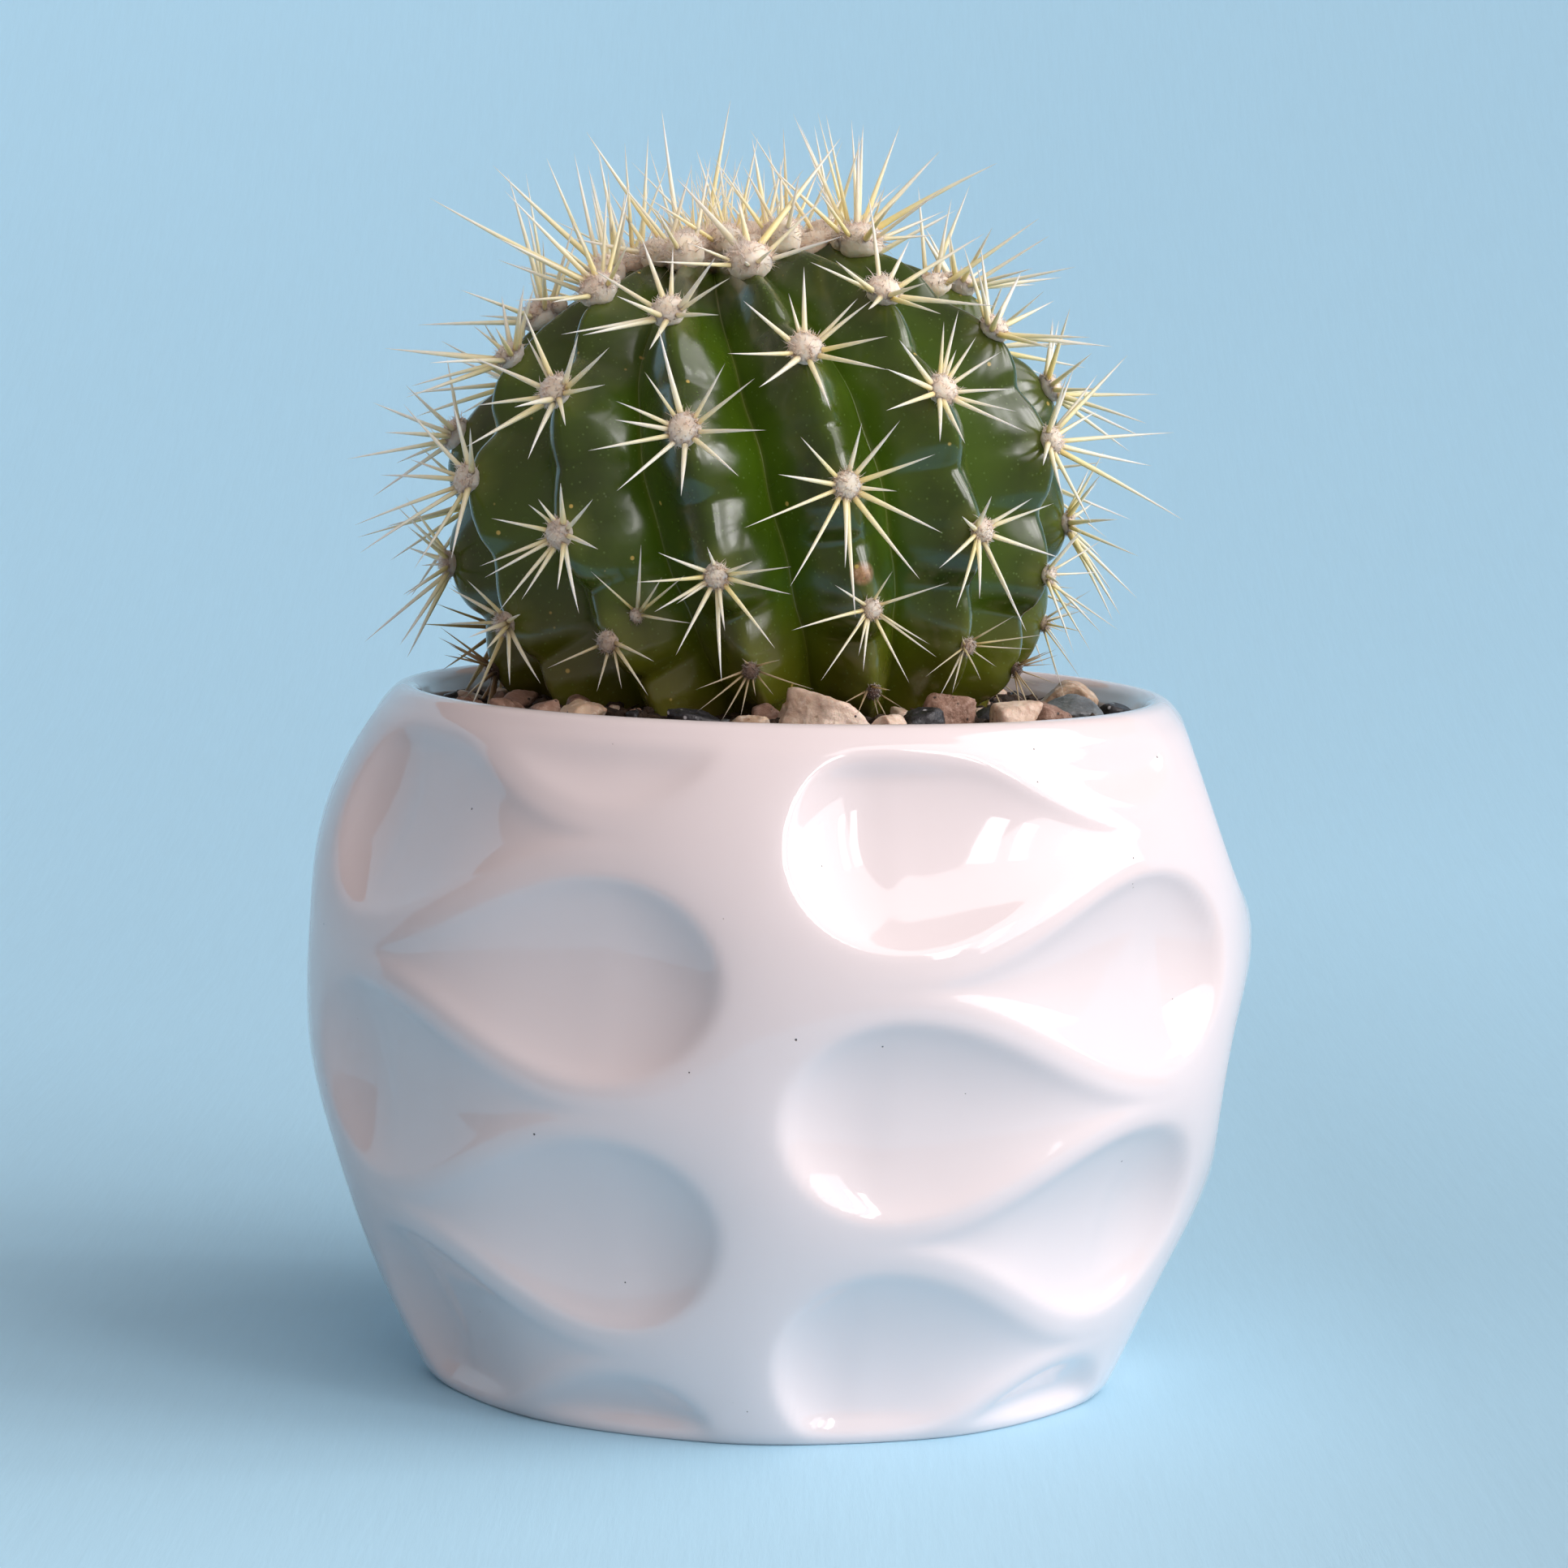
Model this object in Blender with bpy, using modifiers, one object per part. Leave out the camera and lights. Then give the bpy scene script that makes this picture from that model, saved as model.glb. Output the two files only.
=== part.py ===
"""A small round cactus growing in a dimpled, glazed pot.

Metres, +Z up, the origin on the floor at the middle of the pot. The viewer stands at -Y.
The pot is a turned profile pressed with five columns of interlocking drop-shaped dishes.
The stem is a leaning, flattened sphere with fourteen tubercled ribs. Each areole is one
piece: a felt pad with the spines that grow out of it.
"""

import math
import random

import bmesh
import bpy
import numpy as np
from mathutils import Vector, noise
from mathutils.bvhtree import BVHTree

MM = 0.001
GAP = 0.3 * MM  # between pieces that touch

# ---- pot ----------------------------------------------------------------------------
POT_STEPS = 75
# The ridges' radius at each height, from the rim's outer edge down to the floor.
POT_OUTER = (
    (38.7, 67.0), (39.9, 65.5), (41.5, 62.5), (43.2, 58.6), (44.6, 54.6), (45.8, 50.4),
    (46.6, 46.0), (47.0, 41.6), (46.8, 37.0), (46.1, 32.2), (45.2, 27.4), (43.9, 22.6),
    (42.3, 17.8), (40.4, 12.8), (38.4, 8.2), (36.4, 4.0), (35.0, 1.3), (34.2, 0.3),
)
POT_RIM = ((35.6, 66.9), (36.0, 67.65), (36.9, 68.1), (37.8, 67.9))
POT_INNER = (
    (27.0, 6.0), (32.5, 9.5), (36.6, 18.0), (39.8, 30.0), (40.9, 42.0), (39.4, 52.0),
    (36.4, 60.5), (35.3, 65.2),
)
POT_FOOT = ((33.5, 0.0), (29.6, 0.0), (28.9, 1.6))
POT_CELLS = 5
POT_TURN = -2.5  # degrees from -Y to the first upright ridge
DISH_DEPTH = 2.3
DISH_HALF_HEIGHT = 9.3
# (degrees into the cell of the round part, its half width, the tail's length, height)
DISHES = (
    (16.6, 13.4, 43.5, 57.6, 1.0), (16.6, 13.4, 43.5, 32.5, 1.0), (16.6, 13.4, 43.5, 8.4, 1.0),
    (55.0, 14.8, -43.5, 69.3, 0.75), (55.0, 14.8, -43.5, 44.8, 1.0),
    (55.0, 14.8, -43.5, 20.7, 1.0), (55.0, 14.8, -43.5, -2.8, 1.0),
)

# ---- stem ---------------------------------------------------------------------------
STEM_CENTRE = (-3.2, 0.1, 87.5)
STEM_AXIS = (-0.201, 0.094, 0.975)
STEM_RADIUS = 30.4
STEM_TOP = 24.4  # from the widest level to the crown, along the axis
STEM_BOTTOM = 33.0  # and to the base in the soil
RIBS = 14
FIRST_RIB = 15.2  # degrees from the side facing the viewer
RIB_TWIST = -0.16  # degrees for each mm up the axis
FURROW = 3.9
EVEN_ROWS = (20.5, 10.6, -2.2, -13.2, -21.4)  # mm up the axis, on ribs 0, 2, 4 ...
ODD_ROWS = (15.6, 4.9, -8.5, -18.0)
# How far the crest stands out between one areole (0) and the next one below it (1).
CREST = ((0.0, 0.0), (0.12, 0.45), (0.28, 0.5), (0.5, -0.3), (0.75, -1.35), (0.9, -1.0), (1.0, 0.0))
STEM_SEGMENTS = 84
STEM_RINGS = 20

# ---- areoles ------------------------------------------------------------------------
SPINE_BASE = 0.33  # radius
RADIALS = 8
CENTRALS = 1
SEED = 14

# ---- soil and stones ----------------------------------------------------------------
SOIL_LEVEL = 65.3
SOIL_FLOOR = 6.4
# name, place, size (width, depth, height), turn, kind
STONES = (
    ("stone_quartz_large", (4.6, -29.4, 68.3), (8.4, 5.6, 6.6), 8, "quartz"),
    ("stone_beige_small_a", (9.8, -30.2, 67.0), (3.6, 3.4, 3.2), 50, "quartz"),
    ("stone_black_a", (13.3, -27.6, 67.2), (4.2, 3.6, 3.4), 20, "basalt"),
    ("stone_pinkish_a", (15.2, -24.4, 68.0), (4.6, 3.6, 4.2), -25, "granite"),
    ("stone_beige_b", (21.4, -23.6, 67.2), (5.4, 4.4, 4.4), -40, "quartz"),
    ("stone_slate", (28.5, -8.2, 67.0), (5.6, 7.4, 3.2), 12, "slate"),
    ("stone_brown_a", (25.0, -15.9, 67.1), (3.8, 4.6, 3.4), 30, "granite"),
    ("stone_tan_a", (28.6, 4.2, 67.0), (5.0, 5.8, 4.0), 70, "quartz"),
    ("stone_black_b", (-8.2, -28.2, 66.9), (4.8, 3.6, 3.2), 10, "basalt"),
    ("stone_tan_b", (-3.0, -30.0, 66.7), (4.0, 3.2, 2.8), -15, "quartz"),
    ("stone_tan_c", (-19.0, -24.6, 67.0), (5.2, 3.8, 3.6), 35, "quartz"),
    ("stone_brown_b", (-26.4, -17.0, 66.6), (4.4, 3.6, 3.0), 55, "granite"),
    ("stone_tan_d", (14.0, 27.6, 67.0), (5.4, 4.4, 3.8), -30, "quartz"),
    ("stone_slate_b", (-14.5, 28.0, 66.8), (6.0, 4.2, 3.4), 25, "slate"),
)


# ======================================================================================
# Helpers
# ======================================================================================
def clear_scene():
    for obj in list(bpy.data.objects):
        bpy.data.objects.remove(obj, do_unlink=True)
    for mesh in list(bpy.data.meshes):
        bpy.data.meshes.remove(mesh)


def new_collection(name, hidden=False):
    made = bpy.data.collections.new(name)
    bpy.context.scene.collection.children.link(made)
    made.hide_render = hidden
    return made


def material(name, colour, roughness, metallic=0.0):
    made = bpy.data.materials.new(name)
    made.use_nodes = True
    shader = made.node_tree.nodes["Principled BSDF"]
    shader.inputs["Base Color"].default_value = (*colour, 1.0)
    shader.inputs["Roughness"].default_value = roughness
    shader.inputs["Metallic"].default_value = metallic
    made.diffuse_color = (*colour, 1.0)
    return made


def mesh_object(name, mesh, collection, finish=None):
    obj = bpy.data.objects.new(name, mesh)
    collection.objects.link(obj)
    if finish is not None:
        mesh.materials.clear()
        mesh.materials.append(finish)
    if collection.hide_render:
        obj.hide_render = True
        obj.display_type = "WIRE"
    return obj


def from_bmesh(name, bm, collection, finish=None, smooth=False):
    mesh = bpy.data.meshes.new(name)
    bm.normal_update()
    bm.to_mesh(mesh)
    bm.free()
    if smooth:
        mesh.shade_smooth()
    return mesh_object(name, mesh, collection, finish)


def evaluated_mesh(obj):
    graph = bpy.context.evaluated_depsgraph_get()
    graph.update()
    return bpy.data.meshes.new_from_object(obj.evaluated_get(graph), depsgraph=graph)


def apply_modifiers(obj):
    mesh = evaluated_mesh(obj)
    obj.modifiers.clear()
    old, obj.data = obj.data, mesh
    bpy.data.meshes.remove(old)
    return obj


def boolean(obj, other, operation):
    made = obj.modifiers.new(operation.lower(), "BOOLEAN")
    made.operation = operation
    made.solver = "EXACT"
    if isinstance(other, bpy.types.Collection):
        made.operand_type = "COLLECTION"
        made.collection = other
    else:
        made.object = other
    return made


def smoothstep(a, b, x):
    t = np.clip((np.asarray(x, float) - a) / (b - a), 0.0, 1.0)
    return t * t * (3 - 2 * t)


# ======================================================================================
# Pot
# ======================================================================================
def dish_relief(angle, z):
    """Depth in mm pressed into the pot's outside at an angle (degrees from -Y) and a height."""
    cell = 360.0 / POT_CELLS
    phi = np.mod(np.asarray(angle, float) - POT_TURN, cell)
    z = np.asarray(z, float)
    depth = np.zeros(np.broadcast(phi, z).shape)
    for middle, half, tail, level, strength in DISHES:
        for shift in (-cell, 0.0, cell):
            along = (phi - middle - shift) * math.copysign(1.0, tail)
            round_end = np.clip(-along / half, 0.0, 1.0)
            t = np.clip(along / abs(tail), 0.0, 1.0)
            taper = (1 - t * t) ** 3.5
            across = (z - level) / (DISH_HALF_HEIGHT * np.maximum(taper, 0.03))
            rho2 = np.where(along < 0, round_end**2 + ((z - level) / DISH_HALF_HEIGHT) ** 2, across**2)
            inside = (rho2 < 1) & (along > -half) & (along < abs(tail))
            one = np.where(inside, strength * (0.25 + 0.75 * taper) * taper**0.3, 0.0)
            one = one * np.clip(1 - rho2, 0.0, 1.0) ** 0.8
            depth = np.maximum(depth, one)
    fade = smoothstep(67.0, 63.0, z) * smoothstep(0.2, 3.0, z)
    return DISH_DEPTH * depth * fade


def build_pot(collection, finish):
    rim = [(r, z) for r, z in POT_RIM]
    profile = [(0.0, 5.6)] + list(POT_INNER) + rim + list(POT_OUTER) + list(POT_FOOT) + [(0.0, 1.6)]
    bm = bmesh.new()
    verts = [bm.verts.new((r * MM, 0, z * MM)) for r, z in profile]
    for a, b in zip(verts, verts[1:]):
        bm.edges.new((a, b))
    pot = from_bmesh("pot", bm, collection, finish)
    screw = pot.modifiers.new("turned", "SCREW")
    screw.axis = "Z"
    screw.angle = 2 * math.pi
    screw.steps = screw.render_steps = POT_STEPS
    screw.use_merge_vertices = True
    screw.merge_threshold = 0.00001
    screw.use_smooth_shade = True
    apply_modifiers(pot)
    # The dishes are pressed in from outside, so only the outer wall moves.
    inner = np.interp  # the cavity's radius at a height, to tell the two walls apart
    inner_z = [z for _, z in POT_INNER]
    inner_r = [r for r, _ in POT_INNER]
    for vert in pot.data.vertices:
        x, y, z = vert.co.x / MM, vert.co.y / MM, vert.co.z / MM
        r = math.hypot(x, y)
        if z < 0.1 or z > 67.25 or r < 34.0 or r < inner(z, inner_z, inner_r) + 1.5:
            continue
        depth = float(dish_relief(math.degrees(math.atan2(x, -y)), z))
        scale = (r - depth) / r
        vert.co.x *= scale
        vert.co.y *= scale
    pot.data.shade_smooth()
    return pot


def cavity_radius(z):
    return float(np.interp(z, [p[1] for p in POT_INNER] + [66.9], [p[0] for p in POT_INNER] + [35.6]))


# ======================================================================================
# Stem
# ======================================================================================
AXIS = Vector(STEM_AXIS).normalized()
EAST = (Vector((1, 0, 0)) - AXIS * AXIS.x).normalized()
NORTH = AXIS.cross(EAST)
CENTRE = Vector(STEM_CENTRE)


def to_world(x, y, z):
    """A point given in the stem's own frame (mm), in metres in the world."""
    return (CENTRE + EAST * x + NORTH * y + AXIS * z) * MM


def direction(x, y, z):
    return (EAST * x + NORTH * y + AXIS * z).normalized()


def rib_angle(rib, z):
    return FIRST_RIB + rib * 360.0 / RIBS + RIB_TWIST * z


def rows_of(rib):
    return EVEN_ROWS if rib % 2 == 0 else ODD_ROWS


def crest_offset(rib, z):
    rows = (31.0,) + rows_of(rib) + (-29.0,)
    for upper, lower in zip(rows, rows[1:]):
        if lower <= z <= upper:
            u = (upper - z) / (upper - lower)
            return float(np.interp(u, [c[0] for c in CREST], [c[1] for c in CREST]))
    return 0.0


def stem_surface(longitude, z, grow=0.0):
    """The stem's skin in its own frame, in mm: a longitude in degrees, a height along the axis."""
    half = STEM_TOP if z > 0 else STEM_BOTTOM
    sine = max(-1.0, min(1.0, z / half))
    rho = STEM_RADIUS * math.sqrt(max(0.0, 1 - sine * sine))
    pitch = 360.0 / RIBS
    place = (longitude - FIRST_RIB - RIB_TWIST * z) / pitch
    rib = round(place)
    across = min(1.0, abs(place - rib) * 2)
    rounded = (math.sqrt(across**2 + 0.22**2) - 0.22) / (math.sqrt(1 + 0.22**2) - 0.22)
    lobed = 1 - math.sqrt(1 - (0.96 * across) ** 2)
    fullness = max(0.0, rho / STEM_RADIUS)
    depth = FURROW * fullness**0.6 * (0.6 * rounded + 0.4 * lobed)
    swell = crest_offset(rib % RIBS, z) * (1 - across**1.3) * min(1.0, fullness * 1.6)
    dimple = 1.3 * math.exp(-((rho / 6.0) ** 2)) if z > 0 else 0.0
    offset = swell - depth - dimple + grow
    lam = math.radians(longitude)
    nr, nz = rho / STEM_RADIUS**2, z / half**2
    size = math.hypot(nr, nz) or 1.0
    nr, nz = nr / size, nz / size
    r = max(0.0, rho + nr * offset)
    return (r * math.sin(lam), -r * math.cos(lam), z + nz * offset), (nr * math.sin(lam), -nr * math.cos(lam), nz)


def build_stem(name, collection, finish=None, grow=0.0):
    bm = bmesh.new()
    bmesh.ops.create_uvsphere(bm, u_segments=STEM_SEGMENTS, v_segments=STEM_RINGS, radius=1.0)
    for vert in bm.verts:
        x, y, z = vert.co
        # rings a little closer at the crown and the base
        z = math.sin(math.asin(max(-1.0, min(1.0, z))) * 1.0)
        height = z * (STEM_TOP if z > 0 else STEM_BOTTOM)
        longitude = math.degrees(math.atan2(x, -y)) if math.hypot(x, y) > 1e-6 else 0.0
        # rings follow the ribs' twist, so that each crest has its own column of points
        longitude += RIB_TWIST * height
        point, _ = stem_surface(longitude + FIRST_RIB, height, grow)
        if math.hypot(x, y) <= 1e-6:
            point = (0.0, 0.0, point[2])
        vert.co = to_world(*point)
    bmesh.ops.recalc_face_normals(bm, faces=bm.faces)
    return from_bmesh(name, bm, collection, finish, smooth=True)


def tree_of(obj):
    mesh = obj.data
    return BVHTree.FromPolygons([v.co for v in mesh.vertices], [tuple(p.vertices) for p in mesh.polygons])


def clearance(tree, point):
    """Signed distance from a closed mesh, in mm: positive outside."""
    near, normal, _, far = tree.find_nearest(point)
    side = (point - near).dot(normal)
    return far / MM * (1 if side > 0 else -1)


# ======================================================================================
# Soil and stones
# ======================================================================================
def soil_height(x, y):
    """The soil's top in mm: heaped a little against the stem on the side facing the viewer."""
    r = math.hypot(x, y)
    front = float(smoothstep(8.0, -18.0, y))
    heap = 1.5 * front * (1 - float(smoothstep(27.0, 35.0, r)) * 0.7)
    bumps = 0.55 * noise.noise(Vector((x * 0.35, y * 0.35, 3.1))) + 0.3 * noise.noise(Vector((x * 0.9, y * 0.9, 7.7)))
    return SOIL_LEVEL + heap + bumps


def build_soil(collection, finish):
    rings, steps = 6, 50
    profile = [(0.0, SOIL_LEVEL)]
    profile += [(cavity_radius(SOIL_LEVEL) * (0.42 + 0.58 * i / (rings - 1)) - 0.35 * (i == rings - 1), SOIL_LEVEL) for i in range(rings)]
    for z in (60.5, 52.0, 42.0, 30.0, 18.0, 9.5):
        profile.append((cavity_radius(z) - 0.45, z))
    profile += [(26.4, SOIL_FLOOR), (0.0, SOIL_FLOOR)]
    bm = bmesh.new()
    verts = [bm.verts.new((r * MM, 0, z * MM)) for r, z in profile]
    for a, b in zip(verts, verts[1:]):
        bm.edges.new((a, b))
    soil = from_bmesh("soil", bm, collection, finish)
    screw = soil.modifiers.new("turned", "SCREW")
    screw.axis = "Z"
    screw.angle = 2 * math.pi
    screw.steps = screw.render_steps = steps
    screw.use_merge_vertices = True
    screw.merge_threshold = 0.00001
    apply_modifiers(soil)
    for vert in soil.data.vertices:
        if vert.co.z > (SOIL_LEVEL - 0.01) * MM:
            x, y = vert.co.x / MM, vert.co.y / MM
            vert.co.z = soil_height(x, y) * MM
            limit = cavity_radius(soil_height(x, y)) - 0.45
            r = math.hypot(x, y)
            if r > limit:
                vert.co.x *= limit / r
                vert.co.y *= limit / r
    return soil


def stone_mesh(name, size, turn, kind, place, seed, grow, collection, finish):
    """A broken stone: the hull of scattered points, flatter and more angular for quartz and slate."""
    chance = random.Random(seed)
    bm = bmesh.new()
    count = 20 if kind in ("quartz", "slate") else 28
    for _ in range(count):
        while True:
            p = Vector([chance.uniform(-1, 1) for _ in range(3)])
            if 0.35 < p.length <= 1:
                break
        p = p.normalized() * (0.9 + 0.1 * chance.random())
        box = Vector([math.copysign(abs(c) ** (0.6 if kind == "slate" else 0.78), c) for c in p])
        bm.verts.new(box)
    hull = bmesh.ops.convex_hull(bm, input=list(bm.verts))
    loose = [g for g in hull["geom_interior"] + hull["geom_unused"] if isinstance(g, bmesh.types.BMVert)]
    bmesh.ops.delete(bm, geom=list({v for v in loose}), context="VERTS")
    extent = [max(abs(v.co[i]) for v in bm.verts) for i in range(3)]
    cos, sin = math.cos(math.radians(turn)), math.sin(math.radians(turn))
    for vert in bm.verts:
        p = [vert.co[i] / extent[i] * size[i] / 2 for i in range(3)]
        length = math.sqrt(sum(c * c for c in p))
        p = [c * (1 + grow / length) for c in p]
        x, y = p[0] * cos - p[1] * sin, p[0] * sin + p[1] * cos
        vert.co = Vector((place[0] + x, place[1] + y, place[2] + p[2])) * MM
    bmesh.ops.recalc_face_normals(bm, faces=bm.faces)
    return from_bmesh(name, bm, collection, finish)


def settled_stones(stem_tree):
    """Each stone's place, moved out from the stem and in from the rim until it is clear of both."""
    placed = []
    for name, place, size, turn, kind in STONES:
        x, y, z = place
        radius = max(size[:2]) / 2
        for _ in range(60):
            r = math.hypot(x, y)
            near_stem = min(
                clearance(stem_tree, Vector((x + dx * size[0] / 2, y + dy * size[1] / 2, z + dz * size[2] / 2)) * MM)
                for dx in (-0.8, 0, 0.8) for dy in (-0.8, 0, 0.8) for dz in (-0.8, 0.0, 0.8)
            )
            if near_stem < 0.7:
                x, y = x * (1 + 0.25 / r), y * (1 + 0.25 / r)
                if math.hypot(x, y) + radius * 0.75 > 35.0:
                    z += 0.1
            else:
                break
        r = math.hypot(x, y)
        if r + min(size[:2]) / 2 > 34.6:
            scale = (34.6 - min(size[:2]) / 2) / r
            x, y = x * scale, y * scale
        placed.append((name, (x, y, z), size, turn, kind))
    return placed


# ======================================================================================
# Areoles
# ======================================================================================
def areole_frame(rib, z):
    """Where an areole sits, the way it faces, and the way up along the rib."""
    longitude = rib_angle(rib, z)
    point, normal = stem_surface(longitude, z)
    upper, _ = stem_surface(rib_angle(rib, z + 1.0), min(z + 1.0, STEM_TOP - 0.05))
    lower, _ = stem_surface(rib_angle(rib, z - 1.0), z - 1.0)
    out = direction(*normal)
    up = (to_world(*upper) - to_world(*lower)).normalized()
    up = (up - out * up.dot(out)).normalized()
    out = (out + up * 0.12).normalized()
    up = (up - out * up.dot(out)).normalized()
    return to_world(*point), out, up


def areole_size(z):
    return float(np.interp(z, [-21, -13, -5, 6, 16, 24], [1.0, 1.2, 1.4, 1.65, 1.85, 1.9]))


def closest(p1, q1, p2, q2):
    """The least distance between two segments."""
    d1, d2, r = q1 - p1, q2 - p2, p1 - p2
    a, e, f = d1.dot(d1), d2.dot(d2), d2.dot(r)
    c, b = d1.dot(r), d1.dot(d2)
    denom = a * e - b * b
    s = min(1.0, max(0.0, (b * f - c * e) / denom)) if denom > 1e-18 else 0.0
    t = (b * s + f) / e
    if t < 0:
        t, s = 0.0, min(1.0, max(0.0, -c / a))
    elif t > 1:
        t, s = 1.0, min(1.0, max(0.0, (b - c) / a))
    return (p1 + d1 * s - p2 - d2 * t).length


class Spines:
    """Lays out every spine so that it clears the stem, the rim, the soil, the stones and other areoles."""

    def __init__(self, stem_tree, stones):
        self.tree = stem_tree
        self.stones = stones
        self.placed = []  # (owner, start, end)
        self.pads = []  # (owner, centre, radius in mm)

    def clear(self, owner, start, end):
        for i in range(1, 13):
            p = start.lerp(end, i / 12)
            x, y, z = p / MM
            r = math.hypot(x, y)
            if i > 3 and clearance(self.tree, p) < 0.75:
                return False
            if z < 69.2 and r > 34.6:
                return False
            if r <= 35.0 and z < 70 and z < soil_height(x, y) + 1.0:
                return False
            if i > 2 and any(math.dist((x, y, z), at) < reach for at, reach in self.stones):
                return False
            if any(o != owner and (p - c).length / MM < size + 0.8 for o, c, size in self.pads):
                return False
        return all(o == owner or closest(start, end, a, b) / MM > 0.95 for o, a, b in self.placed)

    def lay(self, owner, base, out, up, clock, lift, length):
        """One spine, turned or raised a little at a time, and at last shortened, until it is clear."""
        side = up.cross(out) * -1
        for shorter in (1.0, 0.85, 0.7, 0.5, 0.35):
            for turn in (0, 5, -5, 10, -10, 16, -16):
                for raised in (0, 8, 16, 26):
                    a, e = math.radians(clock + turn), math.radians(min(88, lift + raised))
                    way = (up * math.cos(a) + side * math.sin(a)) * math.cos(e) + out * math.sin(e)
                    start = base + out * 0.15 * MM
                    end = start + way * length * shorter * MM
                    if self.clear(owner, start, end):
                        self.placed.append((owner, start, end))
                        return start, end
        return None


def spine_plan(rib, z, chance):
    """Clock angle (degrees from up, clockwise seen from outside), lift from the skin, length in mm."""
    plan = []
    scale = float(np.interp(z, [-21, -13, -5, 5, 24], [0.62, 0.85, 1.0, 1.0, 1.0]))
    for i in range(RADIALS):
        clock = (i + 0.5) * 360 / RADIALS + chance.uniform(-9, 9)
        down = (1 - math.cos(math.radians(clock))) / 2
        length = (7.0 + 3.6 * down + chance.uniform(-0.9, 0.9)) * scale
        plan.append((clock, chance.uniform(17, 30), length))
    for i in range(CENTRALS):
        plan.append((170 - 160 * i + chance.uniform(-25, 25), chance.uniform(48, 62), chance.uniform(9.0, 11.0) * scale))
    return plan


def cone(name, start, end, wide, collection, sides=3):
    bm = bmesh.new()
    bmesh.ops.create_cone(
        bm, cap_ends=True, segments=sides, radius1=wide * MM, radius2=0.0, depth=(end - start).length
    )
    way = (end - start).normalized()
    turn = way.to_track_quat("Z", "Y").to_matrix().to_4x4()
    for vert in bm.verts:
        vert.co = turn @ vert.co + (start + end) / 2
    return from_bmesh(name, bm, collection)


def pad_mesh(name, centre, out, up, radius, height, collection, finish=None, segments=8, rings=4):
    bm = bmesh.new()
    bmesh.ops.create_uvsphere(bm, u_segments=segments, v_segments=rings, radius=1.0)
    side = up.cross(out)
    for vert in bm.verts:
        x, y, z = vert.co
        vert.co = centre + (side * x * radius + up * y * radius * 1.08 + out * z * height) * MM
    bmesh.ops.recalc_face_normals(bm, faces=bm.faces)
    return from_bmesh(name, bm, collection, finish)


def join_into(pad, cones):
    """Unites a pad with its spines, one Boolean for them all."""
    group = bpy.data.collections.new(pad.name + "_spines")
    CUTTERS.children.link(group)
    group.hide_render = True
    for one in cones:
        for held in list(one.users_collection):
            held.objects.unlink(one)
        group.objects.link(one)
        one.hide_render = True
        one.display_type = "WIRE"
    boolean(pad, group, "UNION")
    apply_modifiers(pad)
    for one in cones:
        mesh = one.data
        bpy.data.objects.remove(one, do_unlink=True)
        bpy.data.meshes.remove(mesh)
    bpy.data.collections.remove(group)


def areole_places():
    """(name, rib, height) of every areole below the crown that stands clear of the soil."""
    found = []
    for rib in range(RIBS):
        for row, z in enumerate(rows_of(rib)):
            if z > 19:
                continue
            base, out, _ = areole_frame(rib, z)
            x, y, level = base / MM
            if level < soil_height(x, y) + 1.6:
                continue
            found.append((f"areole_rib{rib + 1:02d}_{row + 1}", rib, z, level, y))
    return found


def build_areole(name, rib, z, spines, skin, collection, finish):
    base, out, up = areole_frame(rib, z)
    chance = random.Random(SEED * 1000 + rib * 10 + int(z + 40))
    size = areole_size(z)
    centre = base + out * (0.3 + 0.25 * size) * MM
    pad = pad_mesh(name, centre, out, up, size, size * 0.72, collection, finish)
    boolean(pad, skin, "DIFFERENCE")
    apply_modifiers(pad)
    cones = []
    for i, (clock, lift, length) in enumerate(spine_plan(rib, z, chance)):
        laid = spines.lay(name, centre, out, up, clock, lift, length)
        if laid:
            cones.append(cone(f"{name}_s{i}", laid[0], laid[1], SPINE_BASE, CUTTERS))
    join_into(pad, cones)
    return pad


def build_crown(spines, skin, collection, finish):
    """The young areoles crowded round the growing point, grown together into one felted cap."""
    chance = random.Random(SEED)
    top, _ = stem_surface(0.0, STEM_TOP - 0.01)
    apex = to_world(0, 0, top[2] + 0.3)
    crown = pad_mesh("crown_wool", apex, AXIS, NORTH, 10.6, 2.3, collection, finish, segments=20, rings=6)
    parts, cones = [], []
    for rib in range(RIBS):
        if rib % 2 == 0:
            heights = (20.5, 21.5, 22.5)
        else:
            heights = (22.6,)
        for z in heights:
            base, out, up = areole_frame(rib, z)
            size = 2.0 if z < 21 else 1.9
            centre = base + out * 0.7 * MM
            parts.append(pad_mesh(f"bud{rib}_{int(z * 10)}", centre, out, up, size, 1.5, CUTTERS, segments=6, rings=4))
            count = 7 if z < 21 else 0 if z < 22 else 3
            for i in range(count):
                clock = (i + 0.5) * 360 / count + chance.uniform(-14, 14)
                lift = chance.uniform(22, 36) if z < 21 else chance.uniform(45, 70)
                length = chance.uniform(8.0, 10.5) if z < 21 else chance.uniform(10.0, 13.5)
                way = out if z < 21 else (out * 0.55 + AXIS * 0.45).normalized()
                laid = spines.lay("crown_wool", centre, way, (up - way * up.dot(way)).normalized(), clock, lift, length)
                if laid:
                    cones.append(cone(f"c{rib}_{int(z * 10)}_{i}", laid[0], laid[1], SPINE_BASE, CUTTERS))
    join_into(crown, parts)
    boolean(crown, skin, "DIFFERENCE")
    apply_modifiers(crown)
    join_into(crown, cones)
    return crown


# ======================================================================================
# Build
# ======================================================================================
clear_scene()
CACTUS = new_collection("potted_round_cactus")
CUTTERS = new_collection("cutters", hidden=True)

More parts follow.
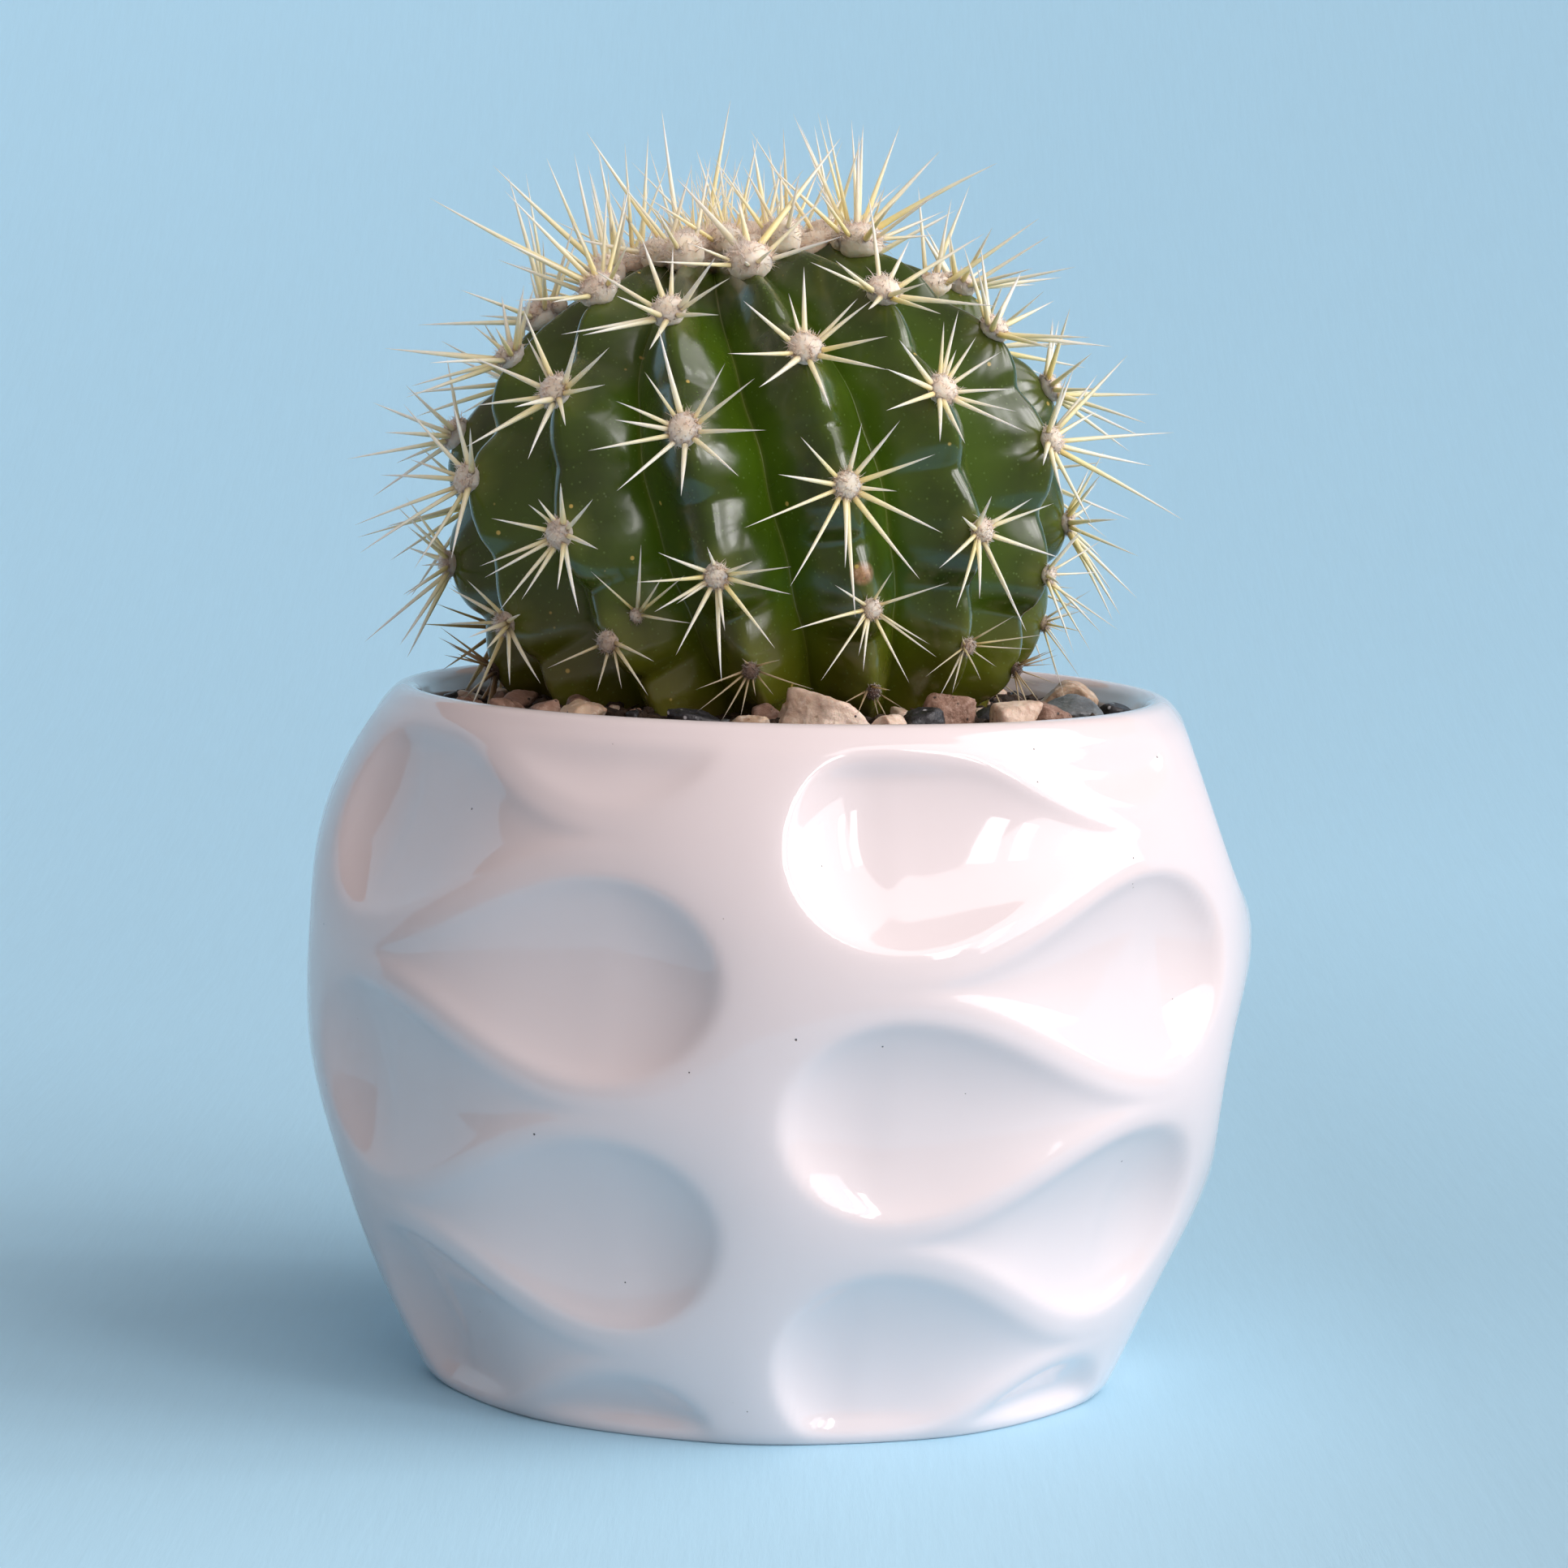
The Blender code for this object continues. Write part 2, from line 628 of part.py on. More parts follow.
glaze = material("white_glaze", (0.86, 0.85, 0.85), 0.08)
skin_green = material("cactus_skin", (0.07, 0.17, 0.03), 0.28)
felt = material("areole_felt", (0.78, 0.66, 0.52), 0.9)
earth = material("potting_soil", (0.035, 0.022, 0.015), 0.95)
rock = {
    "quartz": material("beige_quartz", (0.62, 0.48, 0.37), 0.55),
    "basalt": material("black_gravel", (0.03, 0.03, 0.035), 0.6),
    "granite": material("brown_granite", (0.30, 0.19, 0.15), 0.6),
    "slate": material("grey_slate", (0.22, 0.23, 0.23), 0.6),
}

pot = build_pot(CACTUS, glaze)
stem = build_stem("stem", CACTUS, skin_green)
stem_cutter = build_stem("stem_clearance", CUTTERS, grow=0.32)
stem_tree = tree_of(stem)

places = settled_stones(stem_tree)
soil = build_soil(CACTUS, earth)
boolean(soil, stem_cutter, "DIFFERENCE")
apply_modifiers(soil)
for number, (name, at, size, turn, kind) in enumerate(places):
    stone_mesh(name, size, turn, kind, at, 100 + number, 0.0, CACTUS, rock[kind])
    pocket = stone_mesh(name + "_pocket", size, turn, kind, at, 100 + number, 0.55, CUTTERS, None)
    boolean(soil, pocket, "DIFFERENCE")
    apply_modifiers(soil)

spines = Spines(stem_tree, [(at, max(size) / 2 + 0.6) for _, at, size, _, _ in places])
listed = areole_places()
# The lowest ones behind the stem come last: the object is kept to sixty pieces.
room = 60 - 4 - len(STONES)
listed.sort(key=lambda item: (item[3] < 73.5 and item[4] > -4.0, -item[3]))
kept = sorted(listed[:room])
for name, rib, z, _, _ in listed[:room]:
    base, out, _ = areole_frame(rib, z)
    spines.pads.append((name, base, areole_size(z)))
for name, rib, z, _, _ in kept:
    build_areole(name, rib, z, spines, stem_cutter, CACTUS, felt)
build_crown(spines, stem_cutter, CACTUS, felt)
print("areoles", len(listed), "kept", len(kept), "spines", len(spines.placed))
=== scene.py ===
"""The looks of the potted round cactus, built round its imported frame.

Millimetres inside the helpers, metres in the scene. The viewer stands at -Y.
"""

import math
import random

import bpy
import numpy as np
from mathutils import Matrix, Vector
from mathutils.bvhtree import BVHTree


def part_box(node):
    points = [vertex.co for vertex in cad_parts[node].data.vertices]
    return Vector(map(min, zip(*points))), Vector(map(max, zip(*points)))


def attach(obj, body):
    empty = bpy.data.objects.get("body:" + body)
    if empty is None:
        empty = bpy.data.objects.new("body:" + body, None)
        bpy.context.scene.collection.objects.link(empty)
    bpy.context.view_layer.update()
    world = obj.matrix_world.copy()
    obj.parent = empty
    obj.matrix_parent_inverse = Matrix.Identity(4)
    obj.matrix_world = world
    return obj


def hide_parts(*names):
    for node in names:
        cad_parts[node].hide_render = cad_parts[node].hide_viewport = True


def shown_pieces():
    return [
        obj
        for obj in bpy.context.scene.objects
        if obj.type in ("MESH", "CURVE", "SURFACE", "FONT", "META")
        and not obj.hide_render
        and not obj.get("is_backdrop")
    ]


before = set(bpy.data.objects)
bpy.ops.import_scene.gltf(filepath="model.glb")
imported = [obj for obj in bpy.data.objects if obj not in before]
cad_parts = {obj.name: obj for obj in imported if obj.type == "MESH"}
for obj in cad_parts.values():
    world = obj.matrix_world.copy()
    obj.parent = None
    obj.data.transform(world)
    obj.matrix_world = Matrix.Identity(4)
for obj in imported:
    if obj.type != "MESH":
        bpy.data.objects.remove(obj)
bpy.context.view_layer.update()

MM = 0.001
TAU = 2 * math.pi

# ---- pot ----------------------------------------------------------------------------
POT_OUTER = (
    (39.2, 66.9), (40.6, 65.3), (42.3, 62.3), (44.0, 58.6), (45.4, 54.6), (46.4, 50.4),
    (46.9, 46.0), (47.0, 41.6), (46.7, 37.0), (46.2, 32.2), (45.3, 27.4), (44.0, 22.6),
    (42.4, 17.8), (40.4, 12.8), (38.4, 8.2), (36.4, 4.0), (35.0, 1.3), (34.2, 0.3),
)
POT_RIM = ((35.6, 66.9), (36.0, 67.65), (36.9, 68.1), (38.1, 67.85))
POT_INNER = (
    (27.0, 6.0), (32.5, 9.5), (36.6, 18.0), (39.8, 30.0), (40.9, 42.0), (39.4, 52.0),
    (36.4, 60.5), (35.3, 65.2),
)
POT_CELLS = 5
POT_TURN = -2.5
DISH_DEPTH = 4.3
DISH_HALF_HEIGHT = 9.2
DISHES = (
    (17.0, 13.2, 44.0, 57.6, 1.0), (17.0, 13.2, 44.0, 32.5, 1.0), (17.0, 13.2, 44.0, 8.4, 1.0),
    (53.6, 14.4, -43.0, 69.8, 0.5), (53.6, 14.4, -43.0, 44.8, 1.0),
    (53.6, 14.4, -43.0, 20.7, 1.0), (53.6, 14.4, -43.0, -2.8, 1.0),
)

# ---- stem ---------------------------------------------------------------------------
STEM_CENTRE = (-3.2, 0.1, 87.5)
STEM_AXIS = (-0.201, 0.094, 0.975)
STEM_RADIUS = 30.4
STEM_TOP = 24.4
STEM_BOTTOM = 33.0
RIBS = 14
PITCH = 360.0 / RIBS
FIRST_RIB = 15.2
RIB_TWIST = -0.16
FURROW = 6.0
EVEN_ROWS = (20.5, 10.6, -2.2, -13.2, -21.4)
ODD_ROWS = (15.6, 4.9, -8.5, -18.0)
# How far the crest stands out between one areole (0) and the next one below it (1).
CREST = (
    (0.0, 0.0), (0.1, 0.4), (0.22, 0.35), (0.38, -0.2), (0.52, -1.3), (0.6, -0.95),
    (0.74, -0.25), (0.88, 0.15), (1.0, 0.0),
)
# Where the front ribs' areoles sit, turned and lifted a little from the even pattern:
# (rib, row): (degrees, mm up the axis)
SITES = {
    (0, 0): (10.4, 19.9), (0, 1): (14.4, 10.4), (0, 2): (15.6, -2.5), (0, 3): (18.0, -13.9), (0, 4): (18.6, -21.4),
    (13, 0): (-12.7, 16.3), (13, 1): (-10.4, 5.0), (13, 2): (-9.7, -8.5), (13, 3): (-7.6, -17.5),
    (12, 0): (-41.5, 20.2), (12, 1): (-37.4, 11.0), (12, 2): (-37.5, -1.9), (12, 3): (-34.3, -12.5),
    (1, 0): (38.5, 14.9), (1, 1): (38.1, 4.8), (1, 2): (42.7, -8.5), (1, 3): (42.5, -18.8),
    (2, 2): (68.6, -0.9),
}
EXTRA_SITE = (12, 0.44, -11.2)  # rib, share of the way to its furrow, mm up the axis

# ---- soil and stones ----------------------------------------------------------------
SOIL_LEVEL = 65.3
SOIL_FLOOR = 6.4
STONES = (
    ("stone_quartz_large", (4.6, -29.4, 68.3), (8.9, 5.6, 4.6), 8, "quartz"),
    ("stone_beige_small_a", (9.8, -30.2, 67.0), (3.6, 3.4, 3.2), 50, "quartz"),
    ("stone_black_a", (13.3, -27.6, 67.2), (4.2, 3.6, 3.4), 20, "basalt"),
    ("stone_pinkish_a", (15.2, -24.4, 68.0), (4.6, 3.6, 4.2), -25, "granite"),
    ("stone_beige_b", (21.4, -23.6, 67.2), (5.4, 4.4, 4.4), -40, "quartz"),
    ("stone_slate", (28.5, -8.2, 67.0), (5.6, 7.4, 3.2), 12, "slate"),
    ("stone_brown_a", (25.0, -15.9, 67.1), (3.8, 4.6, 3.4), 30, "granite"),
    ("stone_tan_a", (28.6, 4.2, 67.0), (5.0, 5.8, 4.0), 70, "quartz"),
    ("stone_black_b", (-8.2, -28.2, 66.9), (4.8, 3.6, 3.2), 10, "basalt"),
    ("stone_tan_b", (-3.0, -30.0, 66.7), (4.0, 3.2, 2.8), -15, "quartz"),
    ("stone_tan_c", (-19.0, -24.6, 67.0), (5.2, 3.8, 3.6), 35, "quartz"),
    ("stone_brown_b", (-26.4, -17.0, 66.6), (4.4, 3.6, 3.0), 55, "granite"),
    ("stone_tan_d", (14.0, 27.6, 67.0), (5.4, 4.4, 3.8), -30, "quartz"),
    ("stone_slate_b", (-14.5, 28.0, 66.8), (6.0, 4.2, 3.4), 25, "slate"),
)

# Spines of the areoles on the side facing the viewer: (clock, degrees clockwise from up
# as seen from outside; lift from the skin, degrees; length, mm).
SPINES = {
    (13, 1): ((53, 28, 7.4), (78, 26, 9.0), (113, 23, 9.9), (144, 22, 10.0), (180, 25, 9.3), (221, 24, 9.8),
              (254, 26, 9.4), (278, 27, 6.4), (296, 26, 6.6), (334, 25, 6.2), (357, 26, 9.5)),
    (0, 2): ((17, 28, 6.0), (47, 26, 7.6), (82, 26, 8.5), (112, 28, 4.6), (133, 25, 10.0), (160, 22, 11.5),
             (193, 16, 13.2), (201, 25, 9.2), (224, 16, 12.4), (257, 16, 12.2), (282, 27, 8.6), (315, 29, 7.5)),
    (0, 1): ((13, 25, 7.7), (67, 25, 6.5), (78, 26, 7.3), (122, 28, 8.3), (147, 22, 10.0), (186, 14, 10.9),
             (225, 18, 10.2), (253, 22, 9.7), (306, 27, 7.2), (355, 24, 5.3)),
    (13, 2): ((2, 31, 3.5), (76, 33, 5.1), (90, 27, 8.6), (109, 27, 8.5), (146, 25, 9.4), (176, 30, 5.5),
              (184, 25, 10.1), (216, 27, 8.4), (247, 28, 4.5), (252, 27, 6.7), (280, 27, 7.6), (309, 29, 6.2)),
    (0, 3): ((16, 32, 5.0), (70, 27, 7.5), (129, 27, 6.0), (135, 26, 7.2), (166, 27, 7.5), (209, 29, 6.2),
             (220, 30, 5.0), (237, 25, 9.4), (252, 34, 3.2), (273, 22, 10.2), (309, 32, 7.6)),
    (0, 4): ((119, 25, 3.0), (160, 25, 2.9), (181, 25, 2.3), (292, 37, 7.4), (295, 52, 8.1), (340, 56, 9.0)),
    (13, 3): ((60, 36, 4.8), (102, 30, 7.0), (136, 29, 3.1), (176, 26, 2.2), (205, 26, 4.4), (226, 27, 5.3),
              (253, 28, 6.3), (276, 29, 5.6), (356, 35, 2.8)),
    (1, 3): ((33, 28, 4.9), (76, 25, 7.4), (90, 23, 6.1), (127, 22, 3.1), (252, 25, 9.1), (253, 32, 8.5),
             (267, 19, 9.9), (271, 49, 9.8), (298, 31, 8.7)),
    (1, 2): ((60, 23, 5.5), (74, 24, 7.2), (118, 25, 7.9), (181, 24, 10.4), (186, 27, 8.3), (224, 26, 9.0),
             (231, 17, 10.7), (255, 17, 10.3), (285, 30, 8.7), (305, 45, 8.6)),
    (1, 1): ((10, 25, 6.1), (24, 25, 7.4), (33, 24, 3.8), (49, 23, 6.0), (75, 24, 6.7), (114, 25, 6.5),
             (141, 27, 7.1), (156, 26, 9.1), (208, 23, 9.4), (223, 19, 10.0), (255, 13, 10.8), (276, 21, 9.7),
             (297, 29, 8.5)),
    (2, 2): ((49, 26, 8.9), (50, 35, 12.0), (74, 21, 7.5), (101, 40, 13.4), (119, 33, 11.2), (154, 36, 14.6),
             (203, 14, 10.2), (234, 10, 10.3), (256, 9, 12.6), (309, 31, 9.2), (14, 27, 7.0)),
    (13, 0): ((6, 22, 7.1), (115, 25, 9.1), (109, 39, 8.8), (140, 15, 10.4), (180, 12, 10.9), (199, 41, 9.5),
              (222, 18, 10.2), (235, 16, 11.1), (300, 25, 8.6), (344, 25, 8.8)),
    (1, 0): ((19, 30, 10.4), (54, 21, 7.2), (97, 30, 11.2), (152, 15, 11.5), (188, 15, 9.7), (198, 32, 9.1),
             (230, 12, 10.7), (264, 27, 9.0), (277, 18, 9.7)),
    (12, 1): ((80, 36, 8.4), (88, 19, 9.9), (110, 14, 10.6), (140, 15, 10.1), (161, 39, 9.1), (166, 13, 11.0),
              (209, 22, 10.3), (246, 25, 7.3), (289, 26, 9.1), (329, 22, 6.4), (337, 26, 8.9)),
    (12, 2): ((51, 34, 7.5), (77, 25, 9.2), (109, 25, 9.2), (151, 22, 10.0), (151, 36, 8.0), (204, 27, 7.0),
              (217, 26, 9.0), (243, 30, 7.8), (255, 25, 7.9), (294, 24, 6.4), (334, 26, 3.7), (358, 28, 3.7)),
    (11, 1): ((69, 21, 8.9), (143, 12, 12.0), (178, 19, 10.3), (216, 33, 12.2), (237, 35, 12.0), (271, 30, 10.0),
              (286, 22, 7.9), (320, 30, 10.2), (20, 26, 7.4)),
    (12, 3): ((102, 27, 8.8), (129, 28, 8.4), (147, 34, 5.5), (197, 26, 4.5), (263, 24, 6.0)),
    (11, 2): ((90, 44, 10.6), (86, 14, 9.5), (102, 38, 9.7), (124, 12, 11.1), (130, 26, 9.3), (208, 26, 9.1),
              (284, 21, 6.8), (330, 26, 6.2), (20, 28, 6.0)),
    (0, 0): ((9, 26, 8.8), (78, 27, 9.5), (118, 12, 9.5), (171, 21, 6.9), (196, 14, 6.0), (251, 12, 10.6),
             (262, 24, 6.4)),
    (12, 0): ((6, 35, 11.5), (100, 26, 8.6), (171, 12, 8.0), (206, 18, 8.4), (257, 33, 10.2), (348, 35, 11.4)),
    (10, 1): ((78, 32, 10.0), (98, 42, 11.0), (112, 31, 9.9), (143, 40, 11.5), (302, 15, 8.1), (186, 24, 10.0),
              (232, 26, 9.0), (20, 28, 7.5)),
    "extra": ((36, 22, 9.4), (60, 28, 8.6), (68, 20, 9.8), (97, 24, 8.8), (349, 29, 6.4)),
}


# The long spines of the crown, with their tips placed one by one:
# (areole (rib, row) or foot in mm, tip in mm, thickness, paleness, bow in mm)
CROWN_SPINES = (
    ((-8.7, 2.0, 111.6), (-6.5, 3.0, 125.6), 0.36, 0.1, 0.0), ((-11.1, 1.0, 111.2), (-13.2, 2.0, 124.5), 0.36, 0.9, 0.0),
    ((-12.1, 0.0, 110.8), (-20.4, 0.0, 122.1), 0.38, 0.3, 0.5), ((-15.0, 5.0, 109.8), (-14.6, 6.0, 122.1), 0.30, 0.4, 0.0),
    ((4.2, 3.0, 111.9), (1.8, 4.0, 123.4), 0.32, 0.6, 0.0), ((0, 0), (4.3, -3.0, 122.0), 0.42, 0.0, 0.0),
    ((2, 0), (6.5, -4.0, 123.3), 0.40, 0.5, 0.0), ((2, 0), (10.1, -2.0, 123.4), 0.38, 0.1, 0.0),
    ((2, 0), (6.1, -6.0, 122.3), 0.34, 0.9, 0.0), ((2, 0), (14.0, -3.0, 121.0), 0.36, 0.5, 0.0),
    ((2, 0), (19.4, -6.0, 119.9), 0.42, 0.0, 1.0), ((-6.6, 4.0, 111.2), (-9.8, 6.0, 120.8), 0.30, 0.6, 0.0),
    ((-2.4, 2.0, 111.8), (-4.3, 4.0, 122.0), 0.36, 0.1, 0.0), ((-3.0, 5.0, 111.4), (-1.0, 7.0, 120.9), 0.28, 0.4, 0.0),
    ((-6.2, 5.0, 111.2), (-7.6, 7.0, 120.4), 0.28, 0.5, 0.0), ((-8.2, 4.0, 111.0), (-5.2, 6.0, 120.3), 0.28, 0.3, 0.0),
    ((0, 0), (-11.3, -8.0, 117.7), 0.40, 0.9, 0.0), ((-19.4, 3.0, 108.4), (-24.5, 4.0, 119.6), 0.32, 0.3, 0.0),
    ((-18.9, 2.0, 108.4), (-21.7, 2.0, 120.1), 0.34, 0.9, 0.0), ((-18.0, 2.0, 108.4), (-29.6, 2.0, 118.7), 0.38, 0.2, 0.5),
    ((12, 0), (-35.0, -8.0, 115.3), 0.42, 0.1, 0.5), ((12, 0), (-27.7, -10.0, 116.1), 0.38, 0.6, 0.0),
    ((12, 0), (-28.3, -13.0, 111.7), 0.34, 0.4, 0.0), ((12, 0), (-21.0, -14.0, 113.3), 0.36, 0.0, -0.6),
    ((-17.0, 4.0, 109.2), (-19.5, 5.0, 120.7), 0.30, 0.4, 0.0), ((-18.0, 4.0, 108.8), (-20.5, 6.0, 119.1), 0.28, 0.5, 0.0),
    ((-17.7, 2.0, 108.6), (-16.6, 2.0, 116.7), 0.30, 0.3, 0.0), ((-13.1, -2.0, 110.2), (-21.6, -3.0, 111.8), 0.34, 0.6, 0.0),
    ((0, 0), (-5.5, -13.0, 115.9), 0.46, 0.0, -0.8), ((-1.0, 1.0, 111.6), (0.5, 1.0, 117.7), 0.28, 0.8, 0.0),
    ((1.8, 1.0, 111.5), (5.3, 3.0, 117.5), 0.30, 0.6, 0.0), ((2, 0), (8.5, -5.0, 117.1), 0.28, 0.9, 0.0),
    ((2, 0), (13.6, -4.0, 112.9), 0.30, 0.3, 0.0), ((13.7, -2.0, 108.8), (17.1, 0.0, 117.8), 0.32, 0.4, 0.0),
    ((14.1, -2.0, 108.8), (15.3, -2.0, 116.4), 0.30, 0.8, 0.0), ((14.9, -3.0, 108.2), (23.7, -4.0, 114.7), 0.34, 0.3, 0.0),
    ((13.0, -1.0, 109.0), (12.1, 0.0, 117.5), 0.28, 0.7, 0.0),
)
# Tufts of wool between the youngest areoles: centre in mm, radius in mm
CROWN_TUFTS = (
    ((-10.6, -0.4, 110.5), 2.5), ((-7.6, -1.6, 110.9), 2.4), ((-15.4, 0.6, 108.9), 2.2), ((-18.6, 1.6, 107.9), 2.0),
    ((2.2, -1.4, 111.3), 2.5), ((4.4, -0.6, 111.3), 1.9), ((-2.6, 1.0, 111.4), 2.2), ((-5.2, 4.6, 110.9), 2.3),
    ((-12.4, 5.0, 109.9), 2.3), ((-0.4, 6.4, 110.9), 2.1), ((-9.0, 8.8, 109.8), 2.1), ((-16.4, 6.6, 108.2), 2.0),
    ((13.8, -2.0, 108.0), 1.7),
)


# ======================================================================================
# Numbers
# ======================================================================================
def smoothstep(a, b, x):
    t = np.clip((np.asarray(x, float) - a) / (b - a), 0.0, 1.0)
    return t * t * (3 - 2 * t)


def _hash(ix, iy, iz, seed):
    h = (ix * 374761393 + iy * 668265263 + iz * 1440662683 + seed * 974634777) & 0xFFFFFFFF
    h = ((h ^ (h >> 13)) * 1274126177) & 0xFFFFFFFF
    h = h ^ (h >> 16)
    return (h & 0xFFFFFF) / float(0x7FFFFF) - 1.0


def value_noise(p, seed=0):
    """Smooth noise from -1 to 1 at each row of p."""
    p = np.asarray(p, float)
    cell = np.floor(p).astype(np.int64)
    f = p - cell
    u = f * f * f * (f * (f * 6 - 15) + 10)
    total = np.zeros(len(p))
    for dx in (0, 1):
        wx = u[:, 0] if dx else 1 - u[:, 0]
        for dy in (0, 1):
            wy = u[:, 1] if dy else 1 - u[:, 1]
            for dz in (0, 1):
                wz = u[:, 2] if dz else 1 - u[:, 2]
                total += wx * wy * wz * _hash(cell[:, 0] + dx, cell[:, 1] + dy, cell[:, 2] + dz, seed)
    return total


def fractal(p, seed=0, octaves=3, gain=0.5):
    p = np.asarray(p, float)
    total, amount, reach = np.zeros(len(p)), 1.0, 0.0
    for i in range(octaves):
        total += amount * value_noise(p * 2**i, seed + i * 17)
        reach += amount
        amount *= gain
    return total / reach


def unit(v):
    v = np.asarray(v, float)
    return v / np.maximum(np.linalg.norm(v, axis=-1, keepdims=True), 1e-12)


def catmull(points, per=12):
    """A smooth line through the points, close together."""
    p = np.asarray(points, float)
    p = np.vstack([2 * p[0] - p[1], p, 2 * p[-1] - p[-2]])
    made = []
    for i in range(1, len(p) - 2):
        t = np.linspace(0, 1, per, endpoint=False)[:, None]
        a, b, c, d = p[i - 1], p[i], p[i + 1], p[i + 2]
        made.append(0.5 * (2 * b + (c - a) * t + (2 * a - 5 * b + 4 * c - d) * t**2 + (3 * b - a - 3 * c + d) * t**3))
    return np.vstack(made + [p[-2][None]])


def resampled(line, spacing):
    """The line again with points as far apart as spacing(point) says."""
    steps = np.linalg.norm(np.diff(line, axis=0), axis=1)
    middles = (line[1:] + line[:-1]) / 2
    density = np.array([1.0 / spacing(q) for q in middles])
    travel = np.concatenate([[0.0], np.cumsum(steps * density)])
    count = max(2, int(round(travel[-1])))
    wanted = np.linspace(0, travel[-1], count + 1)
    return np.stack([np.interp(wanted, travel, line[:, k]) for k in range(line.shape[1])], axis=1)


# ======================================================================================
# Meshes
# ======================================================================================
def build_mesh(name, points, faces, finishes=(), slots=None, fields=None, smooth=True):
    """An object from points in mm and arrays of faces, each array with one number of corners."""
    mesh = bpy.data.meshes.new(name)
    points = np.asarray(points, float)
    faces = [np.asarray(f, np.int64) for f in faces if len(f)]
    corners = np.concatenate([f.ravel() for f in faces])
    sizes = np.concatenate([np.full(len(f), f.shape[1]) for f in faces])
    mesh.vertices.add(len(points))
    mesh.vertices.foreach_set("co", (points * MM).astype(np.float32).ravel())
    mesh.loops.add(len(corners))
    mesh.loops.foreach_set("vertex_index", corners.astype(np.int32))
    mesh.polygons.add(len(sizes))
    mesh.polygons.foreach_set("loop_start", np.concatenate([[0], np.cumsum(sizes)[:-1]]).astype(np.int32))
    for finish in finishes:
        mesh.materials.append(finish)
    if slots is not None:
        mesh.polygons.foreach_set("material_index", np.asarray(slots, np.int32))
    mesh.update(calc_edges=True)
    mesh.validate()
    for key, values in (fields or {}).items():
        made = mesh.attributes.new(key, "FLOAT", "POINT")
        made.data.foreach_set("value", np.asarray(values, np.float32))
    if smooth:
        mesh.shade_smooth()
    obj = bpy.data.objects.new(name, mesh)
    bpy.context.scene.collection.objects.link(obj)
    return obj


def grid_faces(rows, columns, start=0, flip=False):
    """Quads between rings of a tube that closes on itself."""
    r = np.arange(rows - 1)[:, None] * columns
    c = np.arange(columns)[None, :]
    n = (c + 1) % columns
    quads = np.stack([r + c, r + n, r + columns + n, r + columns + c], axis=-1).reshape(-1, 4) + start
    return quads[:, ::-1] if flip else quads


def fan(centre, ring, flip=False):
    ring = np.asarray(ring)
    tri = np.stack([np.full(len(ring), centre), ring, np.roll(ring, -1)], axis=1)
    return tri[:, ::-1] if flip else tri


class Pile:
    """Gathers closed shapes into one mesh, with a material number and fields for each point."""

    def __init__(self, *fields):
        self.points, self.quads, self.tris = [], [], []
        self.quad_slots, self.tri_slots = [], []
        self.fields = {key: [] for key in fields}
        self.count = 0

    def add(self, points, quads=(), tris=(), slot=0, **values):
        points = np.asarray(points, float)
        self.points.append(points)
        for found, kept, slots in ((quads, self.quads, self.quad_slots), (tris, self.tris, self.tri_slots)):
            if len(found):
                kept.append(np.asarray(found, np.int64) + self.count)
                slots.append(np.full(len(found), slot))
        for key, kept in self.fields.items():
            value = values.get(key, 0.0)
            kept.append(np.broadcast_to(np.asarray(value, float), (len(points),)).copy())
        self.count += len(points)

    def build(self, name, finishes, smooth=True):
        faces, slots = [], []
        if self.quads:
            faces.append(np.vstack(self.quads))
            slots.append(np.concatenate(self.quad_slots))
        if self.tris:
            faces.append(np.vstack(self.tris))
            slots.append(np.concatenate(self.tri_slots))
        fields = {key: np.concatenate(kept) for key, kept in self.fields.items()}
        return build_mesh(name, np.vstack(self.points), faces, finishes, np.concatenate(slots), fields, smooth)


def ball(detail):
    """Points and triangles of an icosphere."""
    t = (1 + 5**0.5) / 2
    p = [(-1, t, 0), (1, t, 0), (-1, -t, 0), (1, -t, 0), (0, -1, t), (0, 1, t), (0, -1, -t), (0, 1, -t),
         (t, 0, -1), (t, 0, 1), (-t, 0, -1), (-t, 0, 1)]
    f = [(0, 11, 5), (0, 5, 1), (0, 1, 7), (0, 7, 10), (0, 10, 11), (1, 5, 9), (5, 11, 4), (11, 10, 2), (10, 7, 6),
         (7, 1, 8), (3, 9, 4), (3, 4, 2), (3, 2, 6), (3, 6, 8), (3, 8, 9), (4, 9, 5), (2, 4, 11), (6, 2, 10),
         (8, 6, 7), (9, 8, 1)]
    p = [tuple(unit(q)) for q in p]
    for _ in range(detail):
        known, made = {}, []

        def middle(a, b):
            key = (min(a, b), max(a, b))
            if key not in known:
                known[key] = len(p)
                p.append(tuple(unit(np.add(p[a], p[b]))))
            return known[key]

        for a, b, c in f:
            ab, bc, ca = middle(a, b), middle(b, c), middle(c, a)
            made += [(a, ab, ca), (b, bc, ab), (c, ca, bc), (ab, bc, ca)]
        f = made
    return np.array(p), np.array(f)


BALLS = [ball(i) for i in range(5)]


def across(way):
    """Two directions square to way and to each other."""
    way = unit(way)
    helper = np.array([0.0, 0.0, 1.0]) if abs(way[2]) < 0.9 else np.array([1.0, 0.0, 0.0])
    a = unit(np.cross(helper, way))
    return a, np.cross(way, a)


